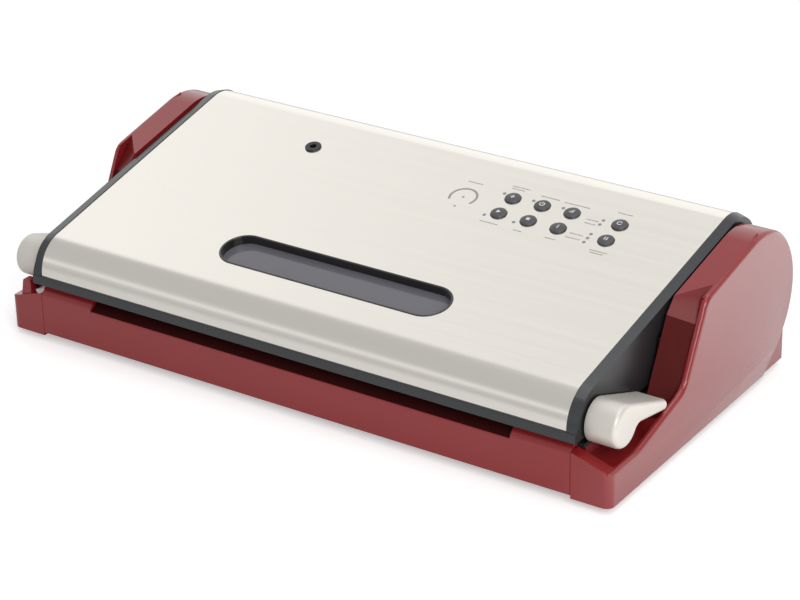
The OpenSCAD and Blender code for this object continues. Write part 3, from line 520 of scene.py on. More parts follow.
def tint(tree: bpy.types.NodeTree, factor: object, colour: object, low: float, high: float) -> object:
    """Multiplies a colour by a grey that goes from low to high with a factor.

    Args:
        tree: Node tree.
        factor: Socket that runs from 0 to 1.
        colour: Colour socket.
        low: Grey at 0.
        high: Grey at 1.

    Returns:
        The tinted colour's socket.
    """
    return greyed(tree, colour, wire(tree, "MapRange", {3: low, 4: high}, i0=factor).outputs[0])


def given(tree: bpy.types.NodeTree, gout: bpy.types.Node, *sockets: object) -> bpy.types.NodeTree:
    """Links the sockets to a group's outputs in order and returns the group."""
    for number, socket in enumerate(sockets):
        tree.links.new(socket, gout.inputs[number])
    return tree


def streak_group() -> bpy.types.NodeTree:
    """Brushing: noise stretched a few hundred times along X, with slower bands laid over it."""
    tree, gin, gout = group(
        "brushed_streaks",
        [("Vector", VECTOR, None), ("Colour", COLOUR, (0.8, 0.8, 0.8, 1)), ("Tone", NUMBER, 0.05),
         ("Roughness", NUMBER, 0.3), ("Spread", NUMBER, 0.1)],
        [("Colour", COLOUR), ("Roughness", NUMBER), ("Height", NUMBER)])
    fine = wire(tree, "Mapping", {3: (9.0, 2600.0, 2600.0)}, i0=gin.outputs[0])
    fine_noise = wire(tree, "TexNoise", {2: 1.0, 3: 2.0, 4: 0.6}, i0=fine.outputs[0])
    slow = wire(tree, "Mapping", {3: (2.2, 240.0, 240.0)}, i0=gin.outputs[0])
    slow_noise = wire(tree, "TexNoise", {2: 1.0, 3: 3.0, 4: 0.55}, i0=slow.outputs[0])
    half = calc(tree, "MULTIPLY", {1: 0.45}, i0=slow_noise.outputs[0])
    both = calc(tree, "MULTIPLY_ADD", {1: 0.55}, i0=fine_noise.outputs[0], i2=half)
    low = calc(tree, "SUBTRACT", {0: 1.0}, i1=gin.outputs[2])
    high = calc(tree, "ADD", {0: 1.0}, i1=gin.outputs[2])
    span = wire(tree, "MapRange", {1: 0.3, 2: 0.7}, i0=both, i3=low, i4=high)
    centred = calc(tree, "SUBTRACT", {1: 0.5}, i0=both)
    rough = calc(tree, "MULTIPLY_ADD", i0=centred, i1=gin.outputs[4], i2=gin.outputs[3])
    return given(tree, gout, greyed(tree, gin.outputs[1], span.outputs[0]), rough, fine_noise.outputs[0])


def moulding_group() -> bpy.types.NodeTree:
    """Moulded skin: cloudy tone and gloss, faint rubbed patches, and a fine relief for the bump."""
    tree, gin, gout = group(
        "moulded_skin",
        [("Vector", VECTOR, None), ("Colour", COLOUR, (0.5, 0.5, 0.5, 1)), ("Roughness", NUMBER, 0.3),
         ("Rubbed", NUMBER, 0.1), ("Relief Scale", NUMBER, 900.0)],
        [("Colour", COLOUR), ("Roughness", NUMBER), ("Height", NUMBER)])
    cloud = wire(tree, "TexNoise", {2: 14.0, 3: 3.0, 4: 0.55}, i0=gin.outputs[0])
    patch = wire(tree, "TexNoise", {2: 55.0, 3: 5.0, 4: 0.65}, i0=gin.outputs[0])
    relief = wire(tree, "TexNoise", {3: 2.0, 4: 0.5}, i0=gin.outputs[0], i2=gin.outputs[4])
    colour = tint(tree, cloud.outputs[0], gin.outputs[1], 0.93, 1.07)
    mask = wire(tree, "MapRange", {1: 0.52, 2: 0.72, 3: 0.0, 4: 1.0}, i0=patch.outputs[0])
    rough = calc(tree, "MULTIPLY_ADD", i0=mask.outputs[0], i1=gin.outputs[3], i2=gin.outputs[2])
    return given(tree, gout, colour, rough, relief.outputs[0])


def dust_group() -> bpy.types.NodeTree:
    """Specks: thresholded cells that lighten a colour here and there."""
    tree, gin, gout = group(
        "fine_specks",
        [("Vector", VECTOR, None), ("Colour", COLOUR, (0.5, 0.5, 0.5, 1)), ("Speck", COLOUR, (0.6, 0.6, 0.6, 1)),
         ("Scale", NUMBER, 600.0), ("Amount", NUMBER, 0.1)],
        [("Colour", COLOUR), ("Mask", NUMBER)])
    cells = wire(tree, "TexVoronoi", None, i0=gin.outputs[0], i2=gin.outputs[3])
    dots = wire(tree, "MapRange", {1: 0.05, 2: 0.12, 3: 1.0, 4: 0.0}, i0=cells.outputs[0])
    drift = wire(tree, "TexNoise", {2: 30.0, 3: 2.0}, i0=gin.outputs[0])
    some = calc(tree, "MULTIPLY", i0=dots.outputs[0], i1=drift.outputs[0])
    mask = calc(tree, "MULTIPLY", i0=some, i1=gin.outputs[4])
    mix = wire(tree, "Mix", {"data_type": "RGBA"}, i0=mask, i6=gin.outputs[1], i7=gin.outputs[2])
    return given(tree, gout, mix.outputs[2], mask)


GROUPS: dict[str, bpy.types.NodeTree] = {
    "streaks": streak_group(), "moulding": moulding_group(), "specks": dust_group()}


def placed_group(tree: bpy.types.NodeTree, key: str, **values: object) -> bpy.types.Node:
    """Puts a shared group into a material on Object coordinates.

    Args:
        tree: The material's node tree.
        key: Name in GROUPS.
        values: Input names, with _ for a space, and their values.

    Returns:
        The group node.
    """
    node = tree.nodes.new("ShaderNodeGroup")
    node.node_tree = GROUPS[key]
    where = tree.nodes.new("ShaderNodeTexCoord")
    tree.links.new(where.outputs["Object"], node.inputs["Vector"])
    for name, value in values.items():
        node.inputs[name.replace("_", " ")].default_value = value
    return node


@dataclass(frozen=True)
class Finish:
    """A finish of the machine; its colour is linear."""

    name: str
    colour: tuple[float, float, float]
    roughness: float
    slot: str = "inner_plastic"
    metallic: float = 0.0
    coat: Coat = Coat.NONE
    relief: float = 0.02
    relief_scale: float = 900.0
    specular: float = 0.5

    def shader(self, material: bpy.types.Material) -> tuple[bpy.types.NodeTree, bpy.types.Node]:
        """Sets the constants of the material's own shader and returns its tree and shader node."""
        material.use_nodes = True
        tree = material.node_tree
        shader = tree.nodes["Principled BSDF"]
        shader.inputs["Metallic"].default_value = self.metallic
        shader.inputs["Specular IOR Level"].default_value = self.specular
        shader.inputs["Coat Weight"].default_value, shader.inputs["Coat Roughness"].default_value = self.coat.value
        return tree, shader

    def skin(self, tree: bpy.types.NodeTree, rubbed: float, scale: float) -> bpy.types.Node:
        """Places the moulded skin with the finish's colour and roughness."""
        return placed_group(tree, "moulding", Colour=(*self.colour, 1), Roughness=self.roughness,
                            Rubbed=rubbed, Relief_Scale=scale)

    def feed(self, tree: bpy.types.NodeTree, shader: bpy.types.Node, skin: bpy.types.Node, distance: float,
             coloured: bpy.types.Node | None = None) -> None:
        """Links a group's roughness and height to the shader, and its colour or that of another group."""
        bump = wire(tree, "Bump")
        bump.inputs["Strength"].default_value = self.relief
        bump.inputs["Distance"].default_value = distance
        tree.links.new(skin.outputs["Height"], bump.inputs["Height"])
        tree.links.new(skin.outputs["Roughness"], shader.inputs["Roughness"])
        tree.links.new(bump.outputs[0], shader.inputs["Normal"])
        tree.links.new((coloured or skin).outputs["Colour"], shader.inputs["Base Color"])

    def material(self) -> bpy.types.Material:
        """Builds the material once and returns it again afterwards."""
        found = bpy.data.materials.get(self.name)
        if found:
            return found
        made = bpy.data.materials.new(self.name)
        self.dress(made)
        return made

    def dress(self, material: bpy.types.Material) -> None:
        """Moulded plastic or rubber: cloudy tone, rubbed patches and fine relief."""
        tree, shader = self.shader(material)
        self.feed(tree, shader, self.skin(tree, 0.1, self.relief_scale), 0.0002)

    def over(self, edge: float, *nodes: str) -> None:
        """Gives the finish to softened copies of the solids, with edges of the given width in metres."""
        for node in nodes:
            self.on(softened(node, edge))

    def on(self, *objects: bpy.types.Object) -> None:
        """Gives the finish to the objects."""
        for obj in objects:
            obj.data.materials.clear()
            obj.data.materials.append(self.material())


@dataclass(frozen=True)
class Brushed(Finish):
    """Metal brushed along X."""

    tone: float = 0.05
    spread: float = 0.16

    def dress(self, material: bpy.types.Material) -> None:
        """Parallel streaks in colour, roughness and height."""
        tree, shader = self.shader(material)
        streaks = placed_group(tree, "streaks", Colour=(*self.colour, 1), Tone=self.tone,
                               Roughness=self.roughness, Spread=self.spread)
        self.feed(tree, shader, streaks, 0.00005)


@dataclass(frozen=True)
class Speckled(Finish):
    """Moulded skin with pale specks."""

    speck: tuple[float, float, float] = (0.3, 0.3, 0.3)
    amount: float = 0.35

    def dress(self, material: bpy.types.Material) -> None:
        """The moulded skin with the specks laid over its colour."""
        tree, shader = self.shader(material)
        skin = self.skin(tree, 0.12, self.relief_scale)
        specks = placed_group(tree, "specks", Speck=(*self.speck, 1), Scale=self.relief_scale * 0.7, Amount=self.amount)
        tree.links.new(skin.outputs["Colour"], specks.inputs["Colour"])
        self.feed(tree, shader, skin, 0.0002, specks)


@dataclass(frozen=True)
class Clear(Finish):
    """Clear or smoked plastic."""

    transmission: float = 0.9

    def dress(self, material: bpy.types.Material) -> None:
        """A transmitting shader with a faintly cloudy colour and gloss."""
        tree, shader = self.shader(material)
        shader.inputs["Transmission Weight"].default_value = self.transmission
        shader.inputs["IOR"].default_value = 1.5
        self.feed(tree, shader, self.skin(tree, 0.05, 300.0), 0.0001)


RED = Finish("gloss_red", (0.27, 0.016, 0.018), 0.16, "housing", coat=Coat.THIN, relief=0.012, relief_scale=420.0)
# Painted shade on the face behind each lever, darker than the housing's red.
PAINTED_SHADE_RED = Finish("deep_red", (0.085, 0.010, 0.010), 0.5, "housing", relief=0.03, relief_scale=700.0, specular=0.04)
# Painted shade on the bevel of each tower's front and on the rib behind it.
SHADED_RED = Finish("shaded_red", (0.17, 0.014, 0.015), 0.25, "housing", relief=0.02, relief_scale=700.0, specular=0.15)
# Painted shade on the sill of the bag slot, in the gap under the lid's front.
SILL_PAINTED_SHADE = Finish("sill_red", (0.035, 0.005, 0.005), 0.5, "housing", relief=0.03, relief_scale=700.0, specular=0.05)
SLATE = Finish("gloss_slate", (0.028, 0.031, 0.033), 0.2, "slate_plastic", relief=0.012, relief_scale=420.0)
# Painted shade on the frame's side walls: a darker, duller copy of the slate.
SLATE_PAINTED_SHADE = Finish("dull_slate", (0.016, 0.017, 0.019), 0.3, "slate_plastic", relief=0.02, relief_scale=420.0,
                    specular=0.25)
BLACK = Finish("fine_black", (0.012, 0.012, 0.013), 0.42, relief=0.08, relief_scale=1600.0)
LIP = Finish("gloss_lip", (0.012, 0.012, 0.013), 0.16, coat=Coat.THIN, relief=0.01)
STEEL = Brushed("brushed_steel", (0.84, 0.81, 0.75), 0.22, "steel_cover", metallic=1.0, relief=0.05, tone=0.018)
SATIN = Brushed("satin_silver", (0.66, 0.63, 0.575), 0.42, "lever", metallic=0.35, relief=0.02, tone=0.012, spread=0.06)
ZINC = Brushed("zinc_plate", (0.55, 0.56, 0.58), 0.36, "zinc_steel", metallic=1.0, relief=0.04, tone=0.06)
ALLOY = Brushed("drawn_alloy", (0.72, 0.72, 0.72), 0.34, "aluminium", metallic=1.0, relief=0.05, tone=0.05)
HEATER = Brushed("heater_strip", (0.36, 0.34, 0.31), 0.4, "heater", metallic=1.0, relief=0.04, tone=0.08)
BRASS = Brushed("brass", (0.75, 0.53, 0.22), 0.28, "brass", metallic=1.0, relief=0.03, tone=0.05)
RUBBER = Finish("matt_rubber", (0.014, 0.014, 0.014), 0.72, "rubber", relief=0.12, relief_scale=2200.0)
FOAM = Speckled("cell_foam", (0.02, 0.02, 0.021), 0.9, "rubber", relief=0.5, relief_scale=1500.0,
                speck=(0.07, 0.07, 0.07), amount=0.6)
PAD = Finish("silicone_pad", (0.32, 0.03, 0.025), 0.55, "pad", relief=0.1, relief_scale=1200.0)
TAPE = Speckled("woven_tape", (0.36, 0.23, 0.10), 0.5, "tape", relief=0.35, relief_scale=1100.0,
                speck=(0.5, 0.36, 0.2), amount=0.5)
BUTTON = Finish("button_slate", (0.062, 0.060, 0.066), 0.34, "slate_plastic", relief=0.05, relief_scale=1500.0)
SMOKE = Clear("smoked_lens", (0.17, 0.165, 0.19), 0.1, "smoked", relief=0.01, transmission=0.2)
PANE = Clear("clear_pane", (0.8, 0.84, 0.84), 0.06, "clear", relief=0.01, transmission=0.95)
LIGHT = Finish("light_pipe", (0.27, 0.28, 0.30), 0.25, "pipe", relief=0.01)
INK = Finish("grey_print", (0.34, 0.33, 0.31), 0.5, "slate_plastic", relief=0.01)
FAINT = Finish("faint_print", (0.33, 0.30, 0.26), 0.5, "slate_plastic", relief=0.01)
SIGN = Finish("pale_print", (0.74, 0.74, 0.73), 0.5, "pipe", relief=0.01)
BOARD = Speckled("board_green", (0.02, 0.11, 0.05), 0.35, "board", relief=0.05, speck=(0.3, 0.28, 0.12), amount=0.5)
DARK = Finish("moulded_dark", (0.02, 0.022, 0.028), 0.4, "parts", relief=0.06, relief_scale=1300.0)
CORE = Brushed("laminated_core", (0.24, 0.2, 0.17), 0.5, "core", metallic=0.7, relief=0.3, tone=0.15)
NATURAL = Finish("natural_plastic", (0.62, 0.59, 0.5), 0.42, "pale_plastic", relief=0.06, relief_scale=1300.0)
PLATE = Brushed("bare_plate", (0.5, 0.5, 0.5), 0.45, "zinc_steel", metallic=0.6, relief=0.02, tone=0.04)


# ---- Pieces ------------------------------------------------------------------------------------
def prisms(name: str, outlines: Sequence[np.ndarray], put: Put,
           low: float, high: float) -> bpy.types.Object:
    """Thin flat prisms: each outline point (u, v) goes to (u, v, low) and (u, v, high).

    Args:
        name: Name of the piece.
        outlines: Closed outlines (n, 2), each the other way round from a clock's hands.
        put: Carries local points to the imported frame.
        low: Local height of the underside.
        high: Local height of the top.

    Returns:
        One object that holds all prisms.
    """
    points: list[np.ndarray] = []
    faces: list[list[int]] = []
    start = 0
    for outline in outlines:
        n = len(outline)
        for h in (low, high):
            points.append(np.column_stack([outline, np.full(n, h)]))
        k = np.arange(n)
        sides = np.stack([k, (k + 1) % n, (k + 1) % n + n, k + n], axis=-1) + start
        faces += sides.tolist() + [list(k[::-1] + start), list(k + n + start)]
        start += 2 * n
    return new_object(name, put(np.concatenate(points)), faces, 30)


def bar(x: float, y: float, w: float, h: float) -> np.ndarray:
    """Rectangle of width w and height h about (x, y)."""
    return np.array([[x - w / 2, y - h / 2], [x + w / 2, y - h / 2], [x + w / 2, y + h / 2], [x - w / 2, y + h / 2]])


def disc(x: float, y: float, r: float, steps: int = 20) -> np.ndarray:
    """Circle of radius r about (x, y), as (x + r cos a, y + r sin a)."""
    return np.array([x, y]) + r * on_circle(np.linspace(0, 2 * np.pi, steps, endpoint=False))


def arc_band(x: float, y: float, r: float, width: float, a0: float, a1: float, steps: int = 40) -> np.ndarray:
    """Band between two arcs about (x, y), from angle a0 to a1 in degrees."""
    ring = on_circle(np.radians(np.linspace(a0, a1, steps)))
    return np.concatenate([(r + width / 2) * ring, ((r - width / 2) * ring)[::-1]]) + np.array([x, y])


def at_slope(x: float, s: float) -> Put:
    """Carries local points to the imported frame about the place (x, s) on the lid's slope."""
    return lambda local: LAYOUT.on_slope(local + np.array([x, s, 0.0]))


class Sign(Enum):
    """Signs on the buttons."""

    START = "start"
    STOP = "stop"
    BAR = "bar"
    PAUSE = "pause"
    PLUS = "plus"
    POWER = "power"
    LEVEL = "level"
    RING = "ring"

    def outlines(self) -> list[np.ndarray]:
        """Outlines of the sign in millimetres about its middle."""
        return {
            Sign.START: [np.array([[-0.8, -1.0], [1.1, 0.0], [-0.8, 1.0]])],
            Sign.STOP: [bar(0, 0, 1.6, 1.6)],
            Sign.BAR: [bar(0, 0, 0.45, 2.2)],
            Sign.PAUSE: [bar(-0.55, 0, 0.5, 2.0), bar(0.55, 0, 0.5, 2.0)],
            Sign.PLUS: [bar(0, 0, 2.2, 0.45), bar(0, 0.72, 0.45, 0.75), bar(0, -0.72, 0.45, 0.75)],
            Sign.POWER: [arc_band(0, 0, 1.1, 0.4, 125, 415), bar(0, 0.75, 0.4, 1.5)],
            Sign.LEVEL: [bar(-0.7, -0.5, 0.4, 0.9), bar(0, -0.2, 0.4, 1.5), bar(0.7, 0.1, 0.4, 2.1)],
            Sign.RING: [arc_band(0, 0, 1.0, 0.4, 20, 340)],
        }[self]


@dataclass
class Lid:
    """Steel cover in its plastic frame, with the window, the port, the prints and the underside."""

    window: tuple[float, float, float] = (155.0, 28.6, 29.3)
    bezel_wall: float = 1.4
    lens_depth: float = 5.0
    lens_t: float = 2.0
    port: tuple[float, float] = (-85.4, 133.6)
    gauge: tuple[float, float] = (28.3, 122.8)
    fall: float = 1.6
    fall_start: float = 9.0
    print_h: float = 0.03
    label_y: tuple[float, float] = (16.22, 0.979)
    label_rows: tuple[tuple[float, float, float], ...] = (
        (22.9, 32.6, 151.2), (49.9, 61.8, 156.5), (70.4, 82.7, 154.0), (86.4, 103.3, 153.5), (120.0, 129.4, 156.0),
        (49.8, 61.5, 120.2), (72.6, 78.2, 119.5), (93.0, 99.9, 120.0), (50.6, 59.0, 154.4), (122.5, 133.5, 119.4),
        (123.5, 132.0, 117.4), (104.0, 112.6, 129.0), (103.5, 112.6, 125.0), (106.0, 114.2, 144.0),
        (107.0, 114.2, 140.6))
    dashes: tuple[float, ...] = (1.5, 0.9, 2.1, 1.2, 0.7, 1.8)

    def cover(self) -> None:
        """Steel cover and the frame that carries it; the frame's side walls get painted shade, a darker and duller
        slate than its edging.
        """
        STEEL.on(softened("lid_cover", 0.0, angle=25, flat_deg=0.3))
        edging = softened("lid_frame", 0.00045)
        self.incline(edging.data)
        SLATE.on(edging)
        # Painted shade: the side walls, which face along X, take the darker slate.
        shade_faces(edging.data, [((1.0, 0.0, 0.0), SLATE_PAINTED_SHADE), ((-1.0, 0.0, 0.0), SLATE_PAINTED_SHADE)])

    def incline(self, mesh: bpy.types.Mesh) -> None:
        """Lets the edging beside the steel fall outwards.

        Each outer point moves square to the outline by the fall, which grows from nothing at the foot
        of the nose. The direction is that from the nose's centre, that of the slope's normal, or that
        from the hinge axis, whichever part of the outline the point is on.

        Args:
            mesh: Mesh of the frame, changed in place.
        """
        points = np.empty(3 * len(mesh.vertices))
        mesh.vertices.foreach_get("co", points)
        points = points.reshape(-1, 3) / MM
        flat = points[:, 1:] + np.array([LAYOUT.mid_y, -LAYOUT.foot])
        nose, hinge = flat - np.array(LAYOUT.nose), flat - np.array(LAYOUT.hinge)
        normal = np.array([-math.sin(LAYOUT.tilt), math.cos(LAYOUT.tilt)])
        along = np.array([math.cos(LAYOUT.tilt), math.sin(LAYOUT.tilt)])
        gaps = np.stack([np.linalg.norm(nose, axis=1) - LAYOUT.nose_r, nose @ normal - LAYOUT.nose_r,
                         np.linalg.norm(hinge, axis=1) - LAYOUT.crest_r], axis=-1)
        part = np.where(nose @ along < 0, 0, np.where(hinge @ along < 0, 1, 2))
        turns = np.stack([nose / np.linalg.norm(nose, axis=1)[:, None], np.broadcast_to(normal, nose.shape),
                          hinge / np.linalg.norm(hinge, axis=1)[:, None]], axis=1)
        row = np.arange(len(flat))
        outer = (np.abs(points[:, 0]) > LAYOUT.lid_x - 0.1) & (gaps[row, part] > -0.1) & (nose[:, 1] > -0.2)
        rise = np.clip(nose[:, 1] / self.fall_start, 0, 1)
        step = np.where(outer, self.fall * rise * rise * (3 - 2 * rise), 0.0)
        flat = flat - step[:, None] * turns[row, part]
        moved = LAYOUT.place(np.column_stack([points[:, 0], flat]))
        mesh.vertices.foreach_set("co", moved.ravel())
        mesh.update()

    def window_frame(self) -> None:
        """Round-ended bezel: a rounded section carried round the slot, with a ledge below the lens."""
        length, width, s = self.window
        path, out = slot_path(length - 2 * self.bezel_wall, width - 2 * self.bezel_wall)
        ledge = -self.lens_depth - self.lens_t
        section = fillet([(-1.5, ledge - 1.2, 0), (self.bezel_wall, ledge - 1.2, 0), (self.bezel_wall, 0.3, 0.35),
                          (0.0, 0.3, 0.5), (0.0, ledge, 0), (-1.5, ledge, 0)])
        LIP.on(adopt(carried("window_bezel_ring", section, path, out, at_slope(0, s)), "lid", "window_bezel"))

    def lens(self) -> None:
        """Lens: rings that shrink towards the slot's middle line, crowned by 0.25 mm."""
        length, width, s = self.window
        path, out = slot_path(length - 2 * self.bezel_wall, width - 2 * self.bezel_wall)
        r = width / 2 - self.bezel_wall
        t = np.linspace(0, 1, 12)
        top = np.stack([-r * t, -self.lens_depth + 0.25 * (1 - (1 - t) ** 2)], axis=-1)
        section = np.concatenate([[[-r, -self.lens_depth - self.lens_t], [0, -self.lens_depth - self.lens_t]], top])
        grid = at_slope(0, s)(swept(section, path, out))
        obj = new_object("window_lens_plate", grid, grid_faces(len(path), len(section), wrap_rows=True))
        faced_out(obj, 1e-6)
        SMOKE.on(adopt(obj, "lid", "window_lens"))

    def port_ring(self) -> None:
        """Flanged port: a section with a rounded flange carried round the bore."""
        ring = on_circle(np.linspace(0, 2 * np.pi, 48, endpoint=False))
        section = fillet([(0, -12, 0), (1.5, -12, 0), (1.5, 0, 0), (3.0, 0, 0), (3.0, 1.0, 0.45), (0, 1.0, 0.5)])
        BLACK.on(adopt(carried("port_ring", section, 2.0 * ring, ring, at_slope(*self.port)), "lid", "accessory_port"))

    def prints(self) -> None:
        """Horseshoe gauge with its pointer, and short dashes in place of the labels.

        A label row is its ends along X and its distance y behind the front face, which label_y takes to
        the way up the slope.
        """
        x, s = self.gauge
        gauge = [arc_band(x, s, 8.2, 1.5, -34, 214), np.array([[x - 1.1, s - 0.7], [x + 1.1, s - 0.7], [x, s + 1.5]]),
                 disc(x, s - 9.6, 0.8)]
        INK.on(adopt(prisms("gauge_print", gauge, at_slope(0, 0), 0.0, self.print_h), "lid"))
        marks: list[np.ndarray] = []
        shortest, gap, tall = 0.3, 0.35, 0.75
        for k, (x0, x1, y) in enumerate(self.label_rows):
            along, j = x0, k
            while along < x1:
                w = min(self.dashes[j % len(self.dashes)], x1 - along)
                if w > shortest:
                    marks.append(bar(along + w / 2, (y - self.label_y[0]) / self.label_y[1], w, tall))
                along, j = along + w + gap, j + 1
        FAINT.on(adopt(prisms("panel_prints", marks, at_slope(0, 0), 0.0, self.print_h), "lid"))

    def underside(self) -> None:
        """Liner, tray, pane, seals and screws that show when the lid is up."""
        BLACK.over(0.0003, "chamber_liner", "lid_rear_tray")
        PANE.over(0.0, "viewing_pane")
        FOAM.on(seal("upper_seal", 34.3, -1.95, "lid", "upper_gasket"))
        PAD.over(0.0007, "pressure_strip")
        ZINC.over(0.0002, "lid_screws")

    def inside(self) -> None:
        """Hose, board, switches and light pipes."""
        RUBBER.over(0.0, "port_hose")
        BOARD.on(frame["nodes"]["control_board"])
        DARK.on(frame["nodes"]["button_switches"])
        LIGHT.over(0.0001, "light_pipes")

    def build(self) -> None:
        """Makes every piece of the lid."""
        self.cover()
        self.window_frame()
        self.lens()
        self.port_ring()
        self.prints()
        self.underside()
        self.inside()


def seal(name: str, face: float, height: float, body: str, node: str) -> bpy.types.Object:
    """Soft seal: a half ellipse standing on a face, carried round a rounded rectangle.

    Section point at angle a is (2 cos a, height sin a) about the strip's middle line.

    Args:
        name: Name of the piece.
        face: Height of the face that it is glued to, in millimetres.
        height: Rise of the seal, negative below the face.
        body: Body that carries it.
        node: Solid that it replaces.

    Returns:
        The new object.
    """
    hx, y0, y1, r = 161.5, 31.5, 78.5, 5.0
    path = fillet([(-hx, y0, r), (hx, y0, r), (hx, y1, r), (-hx, y1, r)], step_deg=12)
    a = np.linspace(0, np.pi, 15)
    section = np.stack([2.0 * np.cos(a), face + height * np.sin(a) ** 0.8], axis=-1)
    return adopt(carried(name, section, path, outward_of(path), LAYOUT.place, 60), body, node)


@dataclass
class Buttons:
    """Eight push buttons in two rows, each with a pale sign."""

    rows: tuple[float, float] = (116.2, 132.1)
    columns: tuple[float, ...] = (56.5, 76.2, 95.9, 127.0)
    radius: float = 4.8
    height: float = 1.6
    rim_r: float = 0.4
    sign_scale: float = 1.35
    sign_h: tuple[float, float] = (-0.1, 0.09)
    dome: float = 0.6
    signs: tuple[Sign, ...] = tuple(Sign)

    def crown(self, r: np.ndarray) -> np.ndarray:
        """Height of the domed top at a radius: a sphere that falls by the dome's rise at the rim."""
        big = (self.radius ** 2 + self.dome ** 2) / (2 * self.dome)
        return self.height - (big - np.sqrt(big ** 2 - r ** 2))

    def on_dome(self, x: float, s: float) -> Put:
        """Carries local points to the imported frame, raised by the dome's height, about a button at (x, s)."""
        place = at_slope(x, s)
        return lambda p: place(np.concatenate(
            [p[..., :2], (p[..., 2] + self.crown(np.linalg.norm(p[..., :2], axis=-1)))[..., None]], axis=-1))

    def build(self) -> None:
        """Turns each button and lays its sign on the dome."""
        r = np.linspace(0, self.radius - 0.45, 10)
        top = np.stack([r, self.crown(r)], axis=-1)
        rim = np.array([self.radius - self.rim_r, self.crown(np.array(self.radius)) - 0.35])
        edge = rim + self.rim_r * on_circle(np.linspace(np.pi / 2 - 0.45, 0, 6))
        flange = self.radius + 1.3
        stem = np.array([[self.radius, -3.1], [flange, -3.1], [flange, -4.1], [2.5, -4.1], [2.5, -6.5], [0, -6.5]])
        profile = np.concatenate([top, edge, stem])
        for k, sign in enumerate(self.signs):
            x, s = self.columns[k % 4], self.rows[k // 4]
            body = f"button_{k + 1}"
            BUTTON.on(adopt(turned(body + "_cap", profile, at_slope(x, s), 48), body, body))
            drawn = [self.sign_scale * outline for outline in sign.outlines()]
            SIGN.on(adopt(prisms(body + "_sign", drawn, self.on_dome(x, s), *self.sign_h), body))


@dataclass
class Levers:
    """Lock levers: a round nose ahead of the shaft, a tail with a straight back and a round throat below."""

    nose: tuple[float, float] = (-2.6, 0.9)
    nose_r: float = 12.4
    reach: float = 40.0
    tip_r: float = 3.2
    dip: float = math.radians(8.6)
    throat_r: float = 6.0
    throat_turn: float = math.radians(-36.0)
    x_in: float = 185.4
    x_out: float = 204.4
    inner_r: float = 0.6
    outer_r: float = 3.0
    outer_inset: float = 2.6

    def outline(self, steps: int = 240) -> tuple[np.ndarray, np.ndarray]:
        """Side outline about the shaft and its inward directions.

        The nose arc, the hollow throat arc that touches it, the tail's underside, the tip arc and the
        back follow one another, all tangent; the outline is then spaced evenly and eased over about 1 mm.

        Args:
            steps: Points round the outline.

        Returns:
            Points (n, 2) and unit inward directions (n, 2), the other way round from a clock's hands.
        """
        nose = np.array(self.nose)
        tail = self.reach * np.array([math.cos(self.dip), -math.sin(self.dip)])
        away = np.array([math.cos(self.throat_turn), math.sin(self.throat_turn)])
        throat = nose + (self.nose_r + self.throat_r) * away
        turn = lambda v, gap: math.atan2(v[1], v[0]) + math.acos(gap / np.linalg.norm(v))
        back, under = turn(tail - nose, self.nose_r - self.tip_r), turn(tail - throat, self.throat_r + self.tip_r)
        arcs = ((nose, self.nose_r, back, 2 * math.pi + self.throat_turn),
                (throat, self.throat_r, math.pi + self.throat_turn, under), (tail, self.tip_r, under - math.pi, back))
        raw = np.concatenate([c + r * on_circle(np.linspace(a0, a1, 60)) for c, r, a0, a1 in arcs])
        closed = np.vstack([raw, raw[:1]])
        run = np.concatenate([[0], np.cumsum(np.linalg.norm(np.diff(closed, axis=0), axis=1))])
        even = np.linspace(0, run[-1], steps, endpoint=False)
        points = np.stack([np.interp(even, run, closed[:, k]) for k in (0, 1)], -1)
        for _ in range(3):
            points = 0.25 * np.roll(points, 1, 0) + 0.5 * points + 0.25 * np.roll(points, -1, 0)
        along = np.roll(points, -1, 0) - np.roll(points, 1, 0)
        along /= np.linalg.norm(along, axis=1)[:, None]
        return points, np.stack([-along[:, 1], along[:, 0]], -1)

    def handle(self, name: str, side: float) -> bpy.types.Object:
        """One lever: the outline carried along X and drawn in by a quarter ellipse at each end.

        Args:
            name: Name of the piece.
            side: 1 for the right one, -1 for the left one.

        Returns:
            The new object.
        """
        points, inward = self.outline()
        a = np.linspace(0, np.pi / 2, 8)
        x = np.concatenate([self.x_in + self.inner_r * (1 - np.cos(a)),
                            self.x_out - self.outer_r + self.outer_r * np.sin(a)])
        inset = np.concatenate([self.inner_r * (1 - np.sin(a)), self.outer_inset * (1 - np.cos(a))])
        flat = points[None] + inward[None] * inset[:, None, None]
        return lofted(name, side * x, flat + np.array(LAYOUT.nose), 40)

    def build(self) -> None:
        """Both levers, the shaft and the hooks."""
        for hand, side in (("right", 1), ("left", -1)):
            SATIN.on(adopt(self.handle(f"{hand}_lever_grip", side), "lock", f"{hand}_lever"))
        ZINC.over(0.0004, "lock_shaft")
        ZINC.over(0.0003, "lock_hooks")


